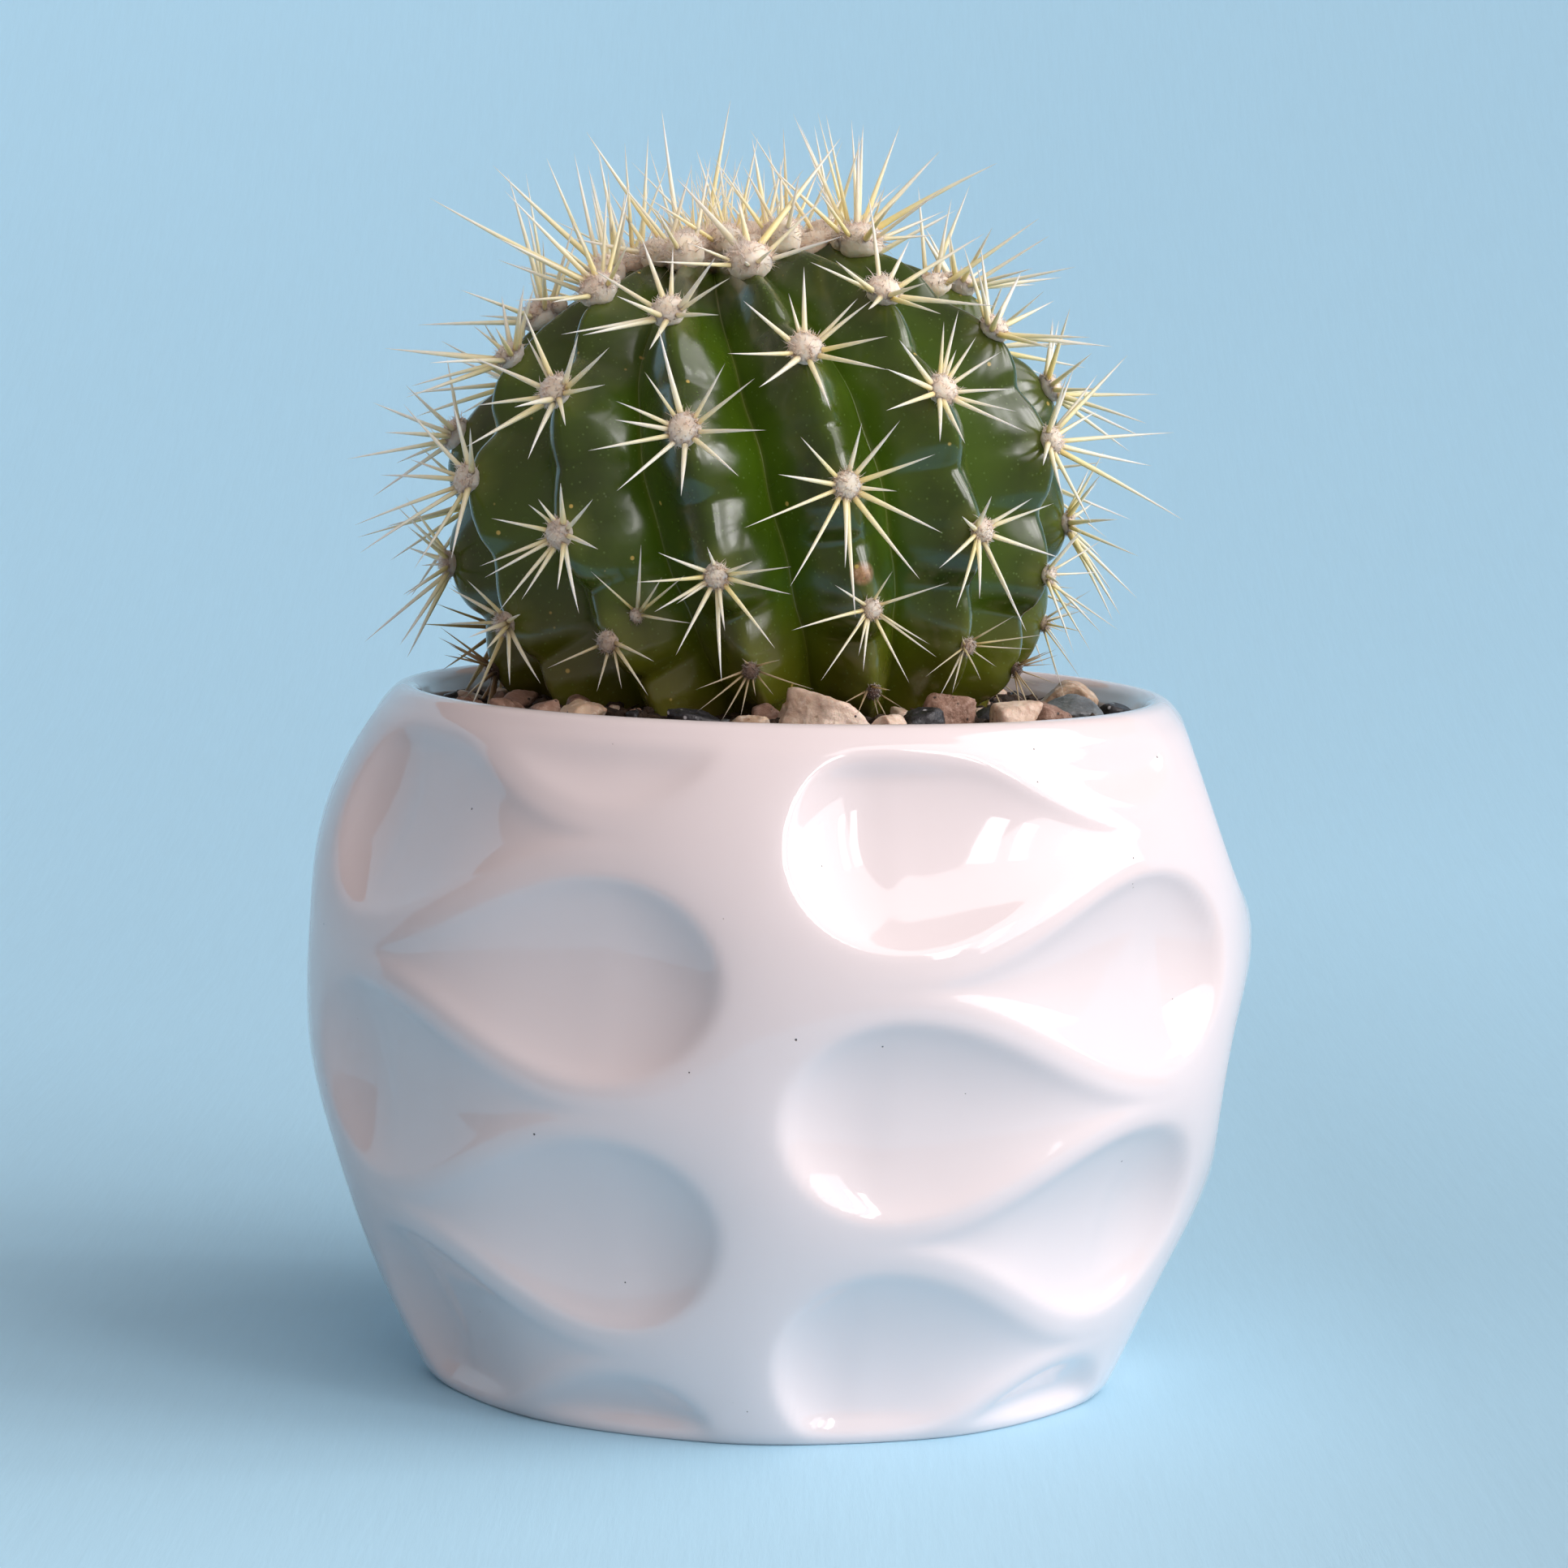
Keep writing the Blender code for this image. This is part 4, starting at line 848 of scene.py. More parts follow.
class Stem:
    """The ribs, worked out once on a fine scale of heights."""

    def __init__(self):
        chance = random.Random(7)
        self.z = np.arange(-STEM_BOTTOM, STEM_TOP + 0.05, 0.1)
        self.sites = {}
        crest, slow, swell, bulge = [], [], [], []
        for rib in range(RIBS):
            places = []
            for row, z in enumerate(rows_of(rib)):
                straight = FIRST_RIB + rib * PITCH + RIB_TWIST * z
                if (rib, row) in SITES:
                    lon, z = SITES[rib, row]
                    lon += 360.0 * round((straight - lon) / 360.0)
                else:
                    z += chance.uniform(-0.5, 0.5)
                    lon = straight + chance.uniform(-1.0, 1.0)
                self.sites[rib, row] = (lon, z)
                places.append((z, lon - (FIRST_RIB + rib * PITCH + RIB_TWIST * z)))
            places.sort()
            zs = [-33.0] + [p[0] for p in places] + [24.4]
            turned = [0.0] + [p[1] for p in places] + [0.0]
            drift = np.interp(self.z, zs, turned)
            drift = np.convolve(np.pad(drift, 30, mode="edge"), np.hanning(61) / np.hanning(61).sum(), mode="valid")
            straight = FIRST_RIB + rib * PITCH + RIB_TWIST * self.z
            crest.append(straight + drift)
            slow.append(straight + np.convolve(np.pad(drift, 130, mode="edge"), np.hanning(261) / np.hanning(261).sum(), mode="valid"))
            heights = [31.0] + [p[0] for p in places][::-1] + [-29.0]
            s, b = np.zeros(len(self.z)), np.zeros(len(self.z))
            for upper, lower in zip(heights, heights[1:]):
                here = (self.z <= upper) & (self.z >= lower)
                u = (upper - self.z[here]) / (upper - lower)
                slip, deep = chance.uniform(-0.05, 0.05), chance.uniform(0.75, 1.3)
                if upper > 25:
                    slip, deep = 0.0, 0.3
                knots = [c[0] + (slip if 0.2 < c[0] < 0.8 else 0) for c in CREST]
                values = [c[1] * (deep if c[1] < 0 else 1.0) for c in CREST]
                s[here] = np.interp(u, knots, values)
                b[here] = np.cos((u - 0.08) * TAU)
            s = np.convolve(np.pad(s, 8, mode="edge"), np.hanning(17) / np.hanning(17).sum(), mode="valid")
            swell.append(s)
            bulge.append(b)
        self.crest, slow, self.swell, self.bulge = map(np.array, (crest, slow, swell, bulge))
        following = np.roll(slow, -1, axis=0)
        following[-1] += 360.0
        self.furrow = (slow + following) / 2 + 0.006 * PITCH * (self.bulge - np.roll(self.bulge, -1, axis=0))
        before = np.roll(self.furrow, 1, axis=0)
        before[0] -= 360.0
        self.furrow_before = before

    def at(self, table, rib, z):
        return np.interp(z, self.z, table[rib])

    def surface(self, rib, s, z, grow=0.0):
        """Points and ellipsoid normals in the stem's own frame. rib is one number; s and z are arrays."""
        s, z = np.broadcast_arrays(np.asarray(s, float), np.asarray(z, float))
        c = self.at(self.crest, rib, z)
        lon = c + np.where(s > 0, s * (self.at(self.furrow, rib, z) - c), -s * (self.at(self.furrow_before, rib, z) - c))
        half = np.where(z > 0, STEM_TOP, STEM_BOTTOM)
        rho = STEM_RADIUS * np.sqrt(np.clip(1 - (z / half) ** 2, 0, 1))
        full = rho / STEM_RADIUS
        a = np.abs(s)
        sharp = 0.12
        rounded = (np.sqrt(a**2 + sharp**2) - sharp) / (math.sqrt(1 + sharp**2) - sharp)
        lobed = 1 - np.sqrt(1 - (0.97 * a) ** 2)
        depth = FURROW * full**0.6 * (0.9 * rounded + 0.1 * lobed)
        swell = self.at(self.swell, rib, z) * (1 - a) ** 0.9 * np.minimum(1.0, full * 1.6)
        dimple = np.where(z > 0, 1.3 * np.exp(-((rho / 6.0) ** 2)), 0.0)
        offset = swell - depth - dimple + grow
        lam = np.radians(lon)
        nr, nz = rho / STEM_RADIUS**2, z / half**2
        size = np.hypot(nr, nz)
        size = np.where(size < 1e-9, 1.0, size)
        nr, nz = nr / size, nz / size
        r = np.maximum(0.0, rho + nr * offset)
        return (np.stack([r * np.sin(lam), -r * np.cos(lam), z + nz * offset], axis=-1),
                np.stack([nr * np.sin(lam), -nr * np.cos(lam), nz], axis=-1))

    def frame(self, rib, s, z):
        """Base point (mm, world), out and up of an areole."""
        p, n = self.surface(rib, [s], [z])
        out = n[0]
        up = np.array([0.0, 0.0, 1.0]) - out * out[2]
        up = unit(up)
        out = unit(out + up * 0.12)
        up = unit(up - out * (up @ out))
        return to_world(p[0]), out @ TILT, up @ TILT


STEM = Stem()


def build_stem(finish):
    side = np.array([0.0, 0.06, 0.13, 0.22, 0.32, 0.43, 0.54, 0.65, 0.75, 0.84, 0.91, 0.955, 0.985, 1.0])
    share = np.concatenate([-side[::-1], side[1:-1]])
    latitudes = np.concatenate([
        np.linspace(89.2, 60, 34, endpoint=False), np.linspace(60, -55, 132, endpoint=False), np.linspace(-55, -89, 12),
    ])
    sine = np.sin(np.radians(latitudes))
    heights = np.where(sine > 0, sine * STEM_TOP, sine * STEM_BOTTOM)
    points, furrow = [], []
    for rib in range(RIBS):
        p, _ = STEM.surface(rib, share[None, :], heights[:, None])
        points.append(p)
        furrow.append(np.broadcast_to(np.abs(share)[None, :], p.shape[:2]))
    points = np.concatenate(points, axis=1)
    furrow = np.concatenate(furrow, axis=1)
    rows, columns = points.shape[:2]
    points = to_world(points.reshape(-1, 3))
    normal = unit(points - CENTRE)
    relief = fractal(points * 0.13, 3, 2) * 0.26 + fractal(points * 0.6, 8, 2) * 0.045
    relief *= 1 - 0.6 * furrow.reshape(-1)
    points = points + normal * relief[:, None]
    top = to_world([0, 0, STEM_TOP - 1.35])
    bottom = to_world([0, 0, -STEM_BOTTOM])
    points = np.vstack([points, top, bottom])
    furrow = np.concatenate([furrow.reshape(-1), [0, 0]])
    near = np.full(len(points), 9.0)
    for (rib, row), (lon, z) in STEM.sites.items():
        base, _, _ = STEM.frame(rib, 0.0, z)
        near = np.minimum(near, np.linalg.norm(points - base, axis=1))
    quads = grid_faces(rows, columns, flip=True)
    tris = np.vstack([fan(rows * columns, np.arange(columns)), fan(rows * columns + 1, np.arange(columns) + (rows - 1) * columns, flip=True)])
    return build_mesh("cactus_stem", points, [quads, tris], [finish], fields={"furrow": furrow, "level": points[:, 2], "near": near})


def tree_of(obj):
    mesh = obj.data
    co = np.zeros(len(mesh.vertices) * 3, np.float32)
    mesh.vertices.foreach_get("co", co)
    mesh.calc_loop_triangles()
    tri = np.zeros(len(mesh.loop_triangles) * 3, np.int32)
    mesh.loop_triangles.foreach_get("vertices", tri)
    return BVHTree.FromPolygons([Vector(c) for c in co.reshape(-1, 3)], tri.reshape(-1, 3).tolist())


def clearance(tree, point):
    """Signed distance in mm from a closed mesh to a point in mm: positive outside."""
    p = Vector(point) * MM
    near, normal, _, far = tree.find_nearest(p)
    return far / MM * (1 if (p - near).dot(normal) > 0 else -1)


# ======================================================================================
# Areoles
# ======================================================================================
def areole_size(z):
    return float(np.interp(z, [-21, -17, -12, -5, 6, 16, 24], [0.7, 0.78, 1.1, 1.35, 1.55, 1.7, 1.85]))


def felt_pad(pile, centre, out, up, size, age, seed, height=0.78, detail=3, fibres=150, slot=0, fibre_slot=0):
    """A knob of short wool: an uneven cushion with fine hairs standing out of it."""
    chance = np.random.default_rng(seed)
    ball_points, ball_tris = BALLS[detail]
    side = np.cross(up, out)
    offset = seed * 7.13
    lumps = 1 + 0.10 * fractal(ball_points * 1.7 + offset, seed, 2) + 0.06 * fractal(ball_points * 6.0 + offset, seed + 3, 2)
    local = ball_points * lumps[:, None]
    scale = np.array([size, size * 1.06, size * height])
    place = lambda q: centre + (q[:, 0:1] * scale[0]) * side + (q[:, 1:2] * scale[1]) * up + (q[:, 2:3] * scale[2]) * out
    pile.add(place(local), tris=ball_tris, slot=slot, along=0.0, tone=chance.random(), age=age)
    if not fibres:
        return
    pick = unit(chance.normal(size=(fibres, 3)))
    pick[:, 2] = np.abs(pick[:, 2]) * 0.9 - 0.12
    pick = unit(pick)
    root = place(pick * 0.93)
    normal = unit(pick[:, 0:1] / scale[0] * side + pick[:, 1:2] / scale[1] * up + pick[:, 2:3] / scale[2] * out)
    sweep = unit(chance.normal(size=(fibres, 3)))
    way = unit(normal + sweep * 0.75 - up * 0.15)
    length = size * chance.uniform(0.26, 0.5, fibres) + (chance.random(fibres) < 0.12) * size * 0.3
    wide = chance.uniform(0.034, 0.055, fibres)
    a = unit(np.cross(way, np.array([0.3, 0.5, 0.81])))
    b = np.cross(way, a)
    middle = root + way * (length * 0.55)[:, None] + sweep * (length * 0.10)[:, None]
    tip = middle + unit(way + sweep * 0.5) * (length * 0.5)[:, None]
    rings = []
    for turn in (0.0, TAU / 3, 2 * TAU / 3):
        rings.append(root + (a * math.cos(turn) + b * math.sin(turn)) * wide[:, None])
    for turn in (0.0, TAU / 3, 2 * TAU / 3):
        rings.append(middle + (a * math.cos(turn) + b * math.sin(turn)) * (wide * 0.75)[:, None])
    rings.append(tip)
    points = np.stack(rings, axis=1)  # fibre, 7, 3
    one_quads = np.array([(0, 1, 4, 3), (1, 2, 5, 4), (2, 0, 3, 5)])
    one_tris = np.array([(3, 4, 6), (4, 5, 6), (5, 3, 6), (0, 2, 1)])
    shift = np.arange(fibres)[:, None, None] * 7
    pile.add(points.reshape(-1, 3), (one_quads[None] + shift).reshape(-1, 4), (one_tris[None] + shift).reshape(-1, 3),
             slot=fibre_slot, along=np.tile([0, 0, 0, 0.6, 0.6, 0.6, 1.0], fibres), tone=0.5, age=age)


def clock_way(out, up, clock, lift):
    a, e = math.radians(clock), math.radians(lift)
    side = np.cross(up, out)  # to the viewer's right when out points at the viewer
    return (up * math.cos(a) + side * math.sin(a)) * math.cos(e) + out * math.sin(e)


def spine_rule(z, chance):
    """The spines of an areole that isn't listed."""
    plan = []
    scale = float(np.interp(z, [-21, -16, -9, 0, 24], [0.55, 0.72, 0.92, 1.0, 1.02]))
    count = 9 + chance.randrange(3)
    for i in range(count):
        clock = (i + 0.5) * 360 / count + chance.uniform(-11, 11)
        down = (1 - math.cos(math.radians(clock))) / 2
        length = (7.4 + 3.6 * down + chance.uniform(-1.2, 1.2)) * scale
        plan.append((clock, chance.uniform(19, 31), length))
    if z > -15:
        plan.append((180 + chance.uniform(-50, 50), chance.uniform(34, 56), chance.uniform(9.5, 12.5) * scale))
    if chance.random() < 0.35:
        plan.append((chance.uniform(0, 360), chance.uniform(28, 44), chance.uniform(3.0, 5.0)))
    return plan


def lay_spines(pile, base, out, up, plan, wide, age, chance, tree, pale=0.5, stoop=1.0, foot=0.75):
    """Grows the listed spines from an areole, lifting any that would cut into the skin."""
    for clock, lift, length in plan:
        way = clock_way(out, up, clock, lift)
        for _ in range(6):
            low = min(clearance(tree, base + way * length * t) for t in (0.45, 0.7, 0.95))
            if low > 0.45:
                break
            lift += 5
            way = clock_way(out, up, clock, lift)
        across_way = unit(np.cross(way, out))
        # most droop back towards the skin a little
        sag = out * (-length * chance.uniform(-0.02, 0.045)) * stoop + across_way * length * chance.uniform(-0.035, 0.035)
        flat = unit(way - out * (way @ out))
        start = base - out * 0.55 + flat * min(foot, length * 0.3)
        path = base + way * length - sag - start
        tone = min(1.0, max(0.0, chance.gauss(pale, 0.26)))
        girth = wide * chance.uniform(0.84, 1.1) * (0.68 + 0.32 * min(1.0, length / 9.0))
        awl(pile, start, path, float(np.linalg.norm(path)), girth, sag, chance, 1, tone, steps=8 if length > 6 else 6, age=age)


def areole_age(z, level):
    return float(np.clip(np.interp(level, [68.5, 71.5, 74.5, 78.0], [1.0, 1.0, 0.5, 0.0]), 0, 1))


def build_areole(name, rib, s, z, plan, node, felt, spine, tree, seed, small=1.0):
    base, out, up = STEM.frame(rib, s, z)
    chance = random.Random(seed)
    level = base[2]
    age = areole_age(z, level)
    size = areole_size(z) * small * chance.uniform(0.95, 1.06) * (0.97 if plan else 0.86)
    pile = Pile("along", "tone", "age")
    felt_pad(pile, base + out * 0.42 * size, out, up, size, min(1.0, age + 0.02), seed, fibres=int(150 * small))
    # a yellow bud of new wool at the upper edge, as young areoles have
    if z > 3 and small > 0.9:
        felt_pad(pile, base + out * 0.3 * size + up * size * 0.75, out, up, size * 0.42, 0.0, seed + 500, detail=2, fibres=20)
    wide = float(np.interp(z, [-21, -17, -12, -8, 2, 24], [0.14, 0.18, 0.27, 0.34, 0.39, 0.41])) * (0.5 + 0.5 * small)
    if plan is None:
        plan = spine_rule(z, chance)
    lay_spines(pile, base + out * 1.0, out, up, plan, wide, age * (0.8 + 0.3 * age), chance, tree)
    obj = pile.build(name, [felt, spine])
    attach(obj, "root")
    if node:
        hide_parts(node)
    return obj


def placed_spine(pile, foot, tip, girth, tone, bow, chance):
    """A spine from one point to another, bowed sideways a little."""
    foot, tip = np.array(foot, float), np.array(tip, float)
    reach = tip - foot
    aside = unit(np.cross(reach, np.array([0.0, 1.0, 0.0])))
    sag = -aside * (bow or chance.uniform(-0.25, 0.25))
    path = reach - sag
    awl(pile, foot, path, float(np.linalg.norm(path)), girth * 1.22, sag, chance, 1, tone, steps=9, age=0.0)


def build_crown(felt, spine, tree):
    """The growing point: young areoles packed round it, deep in wool, with long upright spines."""
    pile = Pile("along", "tone", "age")
    chance = random.Random(21)
    apex = to_world([0, 0, STEM_TOP - 1.4])
    felt_pad(pile, apex, AXIS, NORTH, 7.6, 0.0, 900, height=0.28, detail=4, fibres=700)
    for number, (centre, size) in enumerate(CROWN_TUFTS):
        felt_pad(pile, np.array(centre), AXIS, NORTH, size, 0.0, 860 + number, height=0.72, fibres=170)
    feet = {}
    for rib in range(RIBS):
        if rib % 2 == 0:
            lon, z = STEM.sites[rib, 0]
            base, out, up = STEM.frame(rib, 0.0, z)
            listed = SPINES.get((rib, 0))
            plan = listed
            if plan is None:
                plan = [((i + 0.5) * 51 + chance.uniform(-12, 12), chance.uniform(18, 34), chance.uniform(9.0, 12.0)) for i in range(7)]
                plan += [(chance.uniform(-60, 60), chance.uniform(44, 66), chance.uniform(11.5, 15.0)) for _ in range(3)]
            size = {0: 2.2, 2: 2.25}.get(rib, 1.85) * chance.uniform(0.97, 1.06)
            felt_pad(pile, base + out * 0.75, out, up, size, 0.0, 910 + rib, height=0.85, fibres=260)
            felt_pad(pile, base + out * 0.7 + up * 1.5, out, up, size * 0.72, 0.0, 926 + rib, detail=2, fibres=90)
            lay_spines(pile, base + out * 1.1, out, up, plan, 0.37, 0.0, chance, tree, pale=0.35, stoop=0.6, foot=0.9)
            feet[rib, 0] = base + out * 0.8 + up * 0.3
        z = 22.6 + chance.uniform(-0.25, 0.25) if rib % 2 else 23.5
        base, out, up = STEM.frame(rib, 0.0, z)
        size = 1.95 if rib % 2 else 1.6
        felt_pad(pile, base + out * 0.8, out, up, size, 0.0, 940 + rib, height=0.95, fibres=190)
        way = unit(out * 0.5 + AXIS * 0.5)
        side_up = unit(up - way * (up @ way))
        front = base[1] < 1.0
        count = (3 if front else 5) if rib % 2 else 2
        for i in range(count):
            clock = (i + 0.5) * 360 / count + chance.uniform(-24, 24)
            # those pointing outwards and down lie lower and are shorter
            outward = (1 - math.cos(math.radians(clock))) / 2
            lift = chance.uniform(46, 72) - 26 * outward
            length = chance.uniform(9.5, 11.5) if front else chance.uniform(10.5, 14.5)
            lay_spines(pile, base + way * 1.0, way, side_up, [(clock, lift, length - 2.0 * outward)], 0.34, 0.0, chance, tree, pale=0.3, stoop=0.5, foot=0.9)
    for foot, tip, girth, tone, bow in CROWN_SPINES:
        placed_spine(pile, feet[foot] if len(foot) == 2 else foot, tip, girth, tone, bow, chance)
    for i in range(9):
        turn = i * 2.4
        rho = 0.8 + 0.40 * i
        centre = apex + (EAST * math.cos(turn) + NORTH * math.sin(turn)) * rho + AXIS * (1.4 + 0.05 * i)
        felt_pad(pile, centre, AXIS, NORTH, 1.35 + 0.05 * i, 0.0, 970 + i, fibres=110, height=0.95, detail=2)
        for k in range(4):
            clock = k * 90 + chance.uniform(-35, 35)
            lay_spines(pile, centre + AXIS * 0.3, AXIS, NORTH, [(clock, chance.uniform(44, 82), chance.uniform(5.0, 8.6))], 0.23, 0.0, chance, tree, pale=0.1, stoop=0.4, foot=0.5)
    obj = pile.build("crown_of_young_spines", [felt, spine])
    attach(obj, "root")
    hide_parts("crown_wool")
    return obj


# ======================================================================================
# Soil and stones
# ======================================================================================
def soil_height(x, y):
    r = np.hypot(x, y)
    front = smoothstep(8.0, -18.0, y)
    heap = 1.5 * front * (1 - smoothstep(27.0, 35.0, r) * 0.7)
    p = np.stack([x, y, np.zeros_like(x)], axis=-1)
    return SOIL_LEVEL + heap + 0.5 * value_noise(p * 0.3, 31) + 0.3 * value_noise(p * 0.8, 37)


def build_soil(finish):
    columns = 300
    rings = np.concatenate([[6.0, 12.0], np.linspace(17.0, 35.4, 50)])
    turn = np.arange(columns) * TAU / columns
    x = rings[:, None] * np.sin(turn)[None, :]
    y = -rings[:, None] * np.cos(turn)[None, :]
    flat = np.stack([x.ravel(), y.ravel(), np.zeros(x.size)], axis=-1)
    z = soil_height(x.ravel(), y.ravel())
    z = z + 0.34 * fractal(flat * 1.2, 41, 3, 0.65) + 0.25 * np.abs(fractal(flat * 2.4, 47, 2))
    z = z.reshape(x.shape)
    z[-1] = np.minimum(z[-1], 66.2)
    top = np.stack([x, y, z], axis=-1)
    edge = np.minimum(np.hypot(top[-1, :, 0], top[-1, :, 1]), cavity_radius(top[-1, :, 2]) - 0.25)
    top[-1, :, 0], top[-1, :, 1] = edge * np.sin(turn), -edge * np.cos(turn)
    walls = []
    for level in (62.0, 56.0, 48.0, 38.0, 26.0, 15.0, 9.5):
        r = cavity_radius(level) - 0.4
        walls.append(np.stack([r * np.sin(turn), -r * np.cos(turn), np.full(columns, level)], axis=-1))
    walls.append(np.stack([26.0 * np.sin(turn), -26.0 * np.cos(turn), np.full(columns, SOIL_FLOOR)], axis=-1))
    rows = np.concatenate([top, np.array(walls)])
    points = np.vstack([rows.reshape(-1, 3), [[0, 0, SOIL_LEVEL]], [[0, 0, SOIL_FLOOR]]])
    n = len(points)
    quads = grid_faces(len(rows), columns, flip=True)
    tris = np.vstack([fan(n - 2, np.arange(columns)), fan(n - 1, np.arange(columns) + (len(rows) - 1) * columns, flip=True)])
    tone = np.clip(fractal(points * 0.35, 55, 2) * 0.8, 0, 1)
    obj = build_mesh("potting_mix", points, [quads, tris], [finish], fields={"tone": tone})
    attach(obj, "root")
    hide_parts("soil")
    return obj


def rock_shape(kind, seed, detail):
    """A broken stone inside the unit ball: flat faces with worn edges."""
    chance = np.random.default_rng(seed)
    points, tris = BALLS[detail]
    planes = {"quartz": 11, "slate": 9, "basalt": 16, "granite": 15}[kind]
    normals = unit(chance.normal(size=(planes, 3)))
    normals = np.vstack([normals, np.eye(3), -np.eye(3)])
    reach = np.concatenate([chance.uniform(0.66, 1.0, planes), np.full(6, 1.0)])
    power = {"quartz": 18.0, "slate": 20.0, "basalt": 12.0, "granite": 13.0}[kind]
    push = np.clip(points @ normals.T, 0, None) / reach
    radius = (push**power).sum(axis=1) ** (-1 / power)
    shape = points * radius[:, None]
    shape = shape * (1 + 0.08 * fractal(shape * 2.2 + seed, seed, 3, 0.6)[:, None] + 0.028 * fractal(shape * 9.0 + seed, seed + 5, 2)[:, None])
    extent = (shape.max(0) - shape.min(0)) / 2
    return (shape - (shape.max(0) + shape.min(0)) / 2) / extent, tris


def placed_rock(kind, seed, size, turn, place, detail, lean=0.0):
    shape, tris = rock_shape(kind, seed, detail)
    p = shape * (np.array(size) / 2)
    c, s = math.cos(math.radians(turn)), math.sin(math.radians(turn))
    p = p @ np.array([[c, s, 0], [-s, c, 0], [0, 0, 1]])
    if lean:
        c, s = math.cos(math.radians(lean)), math.sin(math.radians(lean))
        p = p @ np.array([[c, 0, -s], [0, 1, 0], [s, 0, c]])
    return p + np.array(place), tris


SETTLED = {"stone_quartz_large": -1.1}
LEANING = {"stone_quartz_large": 14, "stone_beige_b": -14, "stone_pinkish_a": 12, "stone_black_a": -10, "stone_tan_a": 10}


def build_stones(finishes):
    for number, (name, _, size, turn, kind) in enumerate(STONES):
        low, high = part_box(name)
        middle = np.array((low + high) / 2) / MM + np.array([0.0, 0.0, SETTLED.get(name, 0.0)])
        seed = 300 + number
        grow = 1.04
        points, tris = placed_rock(kind, seed, [c * grow for c in size], turn, middle, 4, lean=LEANING.get(name, 0))
        finish = finishes[kind]
        if kind == "quartz" and ("tan" in name):
            finish = finishes["tan"]
        obj = build_mesh(name + "_look", points, [tris], [finish])
        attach(obj, "root")
        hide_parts(name)


def build_gravel(finishes, earth, tree):
    """Small grit, crumbs of peat and bark, and root fibres between the stones."""
    chance = random.Random(77)
    taken = []
    for name, _, size, _, _ in STONES:
        low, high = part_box(name)
        m = (low + high) / 2 / MM
        taken.append((m[0], m[1], max(size[0], size[1]) / 2))

    def spots(count, least, most, gap):
        made, tries = [], 0
        while len(made) < count and tries < count * 60:
            tries += 1
            a, r = chance.uniform(0, TAU), math.sqrt(chance.uniform(18.0**2, 34.6**2))
            x, y = r * math.sin(a), -r * math.cos(a)
            size = chance.uniform(least, most)
            if r + size * 0.5 > 34.9:
                continue
            z = float(soil_height(np.array([x]), np.array([y]))[0]) + size * 0.16
            if clearance(tree, (x, y, z)) < size * 0.42 + 0.1:
                continue
            if any(math.hypot(x - tx, y - ty) < (tr + size / 2) * gap for tx, ty, tr in taken):
                continue
            made.append((x, y, z, size))
            if size > 1.4:
                taken.append((x, y, size / 2))
        return made

    piles = {"quartz": Pile("tone"), "tan": Pile("tone"), "granite": Pile("tone"), "basalt": Pile("tone"), "slate": Pile("tone")}
    weights = ["tan"] * 3 + ["granite"] * 4 + ["basalt"] * 3 + ["slate"] * 2 + ["quartz"] * 2
    for number, (x, y, z, size) in enumerate(spots(46, 1.8, 3.6, 0.86)):
        kind = chance.choice(weights)
        shape = (size * chance.uniform(0.85, 1.2), size * chance.uniform(0.75, 1.0), size * chance.uniform(0.55, 0.8))
        points, tris = placed_rock("quartz" if kind == "tan" else kind, 600 + number, shape, chance.uniform(0, 360), (x, y, z), 3, lean=chance.uniform(-18, 18))
        piles[kind].add(points, tris=tris)
    for number, (x, y, z, size) in enumerate(spots(160, 0.8, 1.7, 0.8)):
        kind = chance.choice(weights)
        shape = (size, size * chance.uniform(0.7, 1.0), size * chance.uniform(0.6, 0.9))
        points, tris = placed_rock("quartz" if kind == "tan" else kind, 900 + number, shape, chance.uniform(0, 360), (x, y, z), 2, lean=chance.uniform(-25, 25))
        piles[kind].add(points, tris=tris)
    for kind, pile in piles.items():
        if pile.count:
            obj = pile.build(f"grit_{kind}", [finishes[kind]])
            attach(obj, "root")
    crumbs = Pile("tone")
    for number, (x, y, z, size) in enumerate(spots(950, 0.5, 2.0, 0.35)):
        points, tris = BALLS[1 if size < 1.8 or y > 0 else 2]
        rough = 1 + 0.35 * value_noise(points * 1.6 + number * 3.7, number) + 0.12 * value_noise(points * 5 + number, number + 1)
        stretch = np.array([chance.uniform(0.7, 1.3), chance.uniform(0.6, 1.0), chance.uniform(0.45, 0.8)])
        shaped = points * rough[:, None] * stretch * size / 2
        a = chance.uniform(0, TAU)
        c, s = math.cos(a), math.sin(a)
        shaped = shaped @ np.array([[c, s, 0], [-s, c, 0], [0, 0, 1]])
        crumbs.add(shaped + np.array([x, y, z]), tris=tris, tone=chance.random() ** 2)
    # splinters of bark and root fibres
    for _ in range(90):
        x, y, z, size = (spots(1, 0.5, 0.8, 0.2) or [(0, -30, 66.5, 0.6)])[0]
        a = chance.uniform(0, TAU)
        length = chance.uniform(1.6, 4.2)
        way = np.array([math.cos(a), math.sin(a), chance.uniform(-0.12, 0.25)])
        start = np.array([x, y, z + 0.3]) - way * length / 2
        ends = [start, start + way * length]
        if any(math.hypot(e[0], e[1]) > 34.6 or clearance(tree, e) < 0.4 for e in ends):
            continue
        lump = Pile("along", "tone")
        sag = np.array([chance.uniform(-0.4, 0.4), chance.uniform(-0.4, 0.4), chance.uniform(-0.2, 0.1)])
        awl(lump, start, way, length, chance.uniform(0.09, 0.24), sag, chance, 0, 0.0, steps=5, sides=5, blunt=0.5)
        crumbs.add(lump.points[0], lump.quads[0], lump.tris[0], tone=chance.uniform(0.3, 1.0))
    obj = crumbs.build("peat_crumbs", [earth])
    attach(obj, "root")


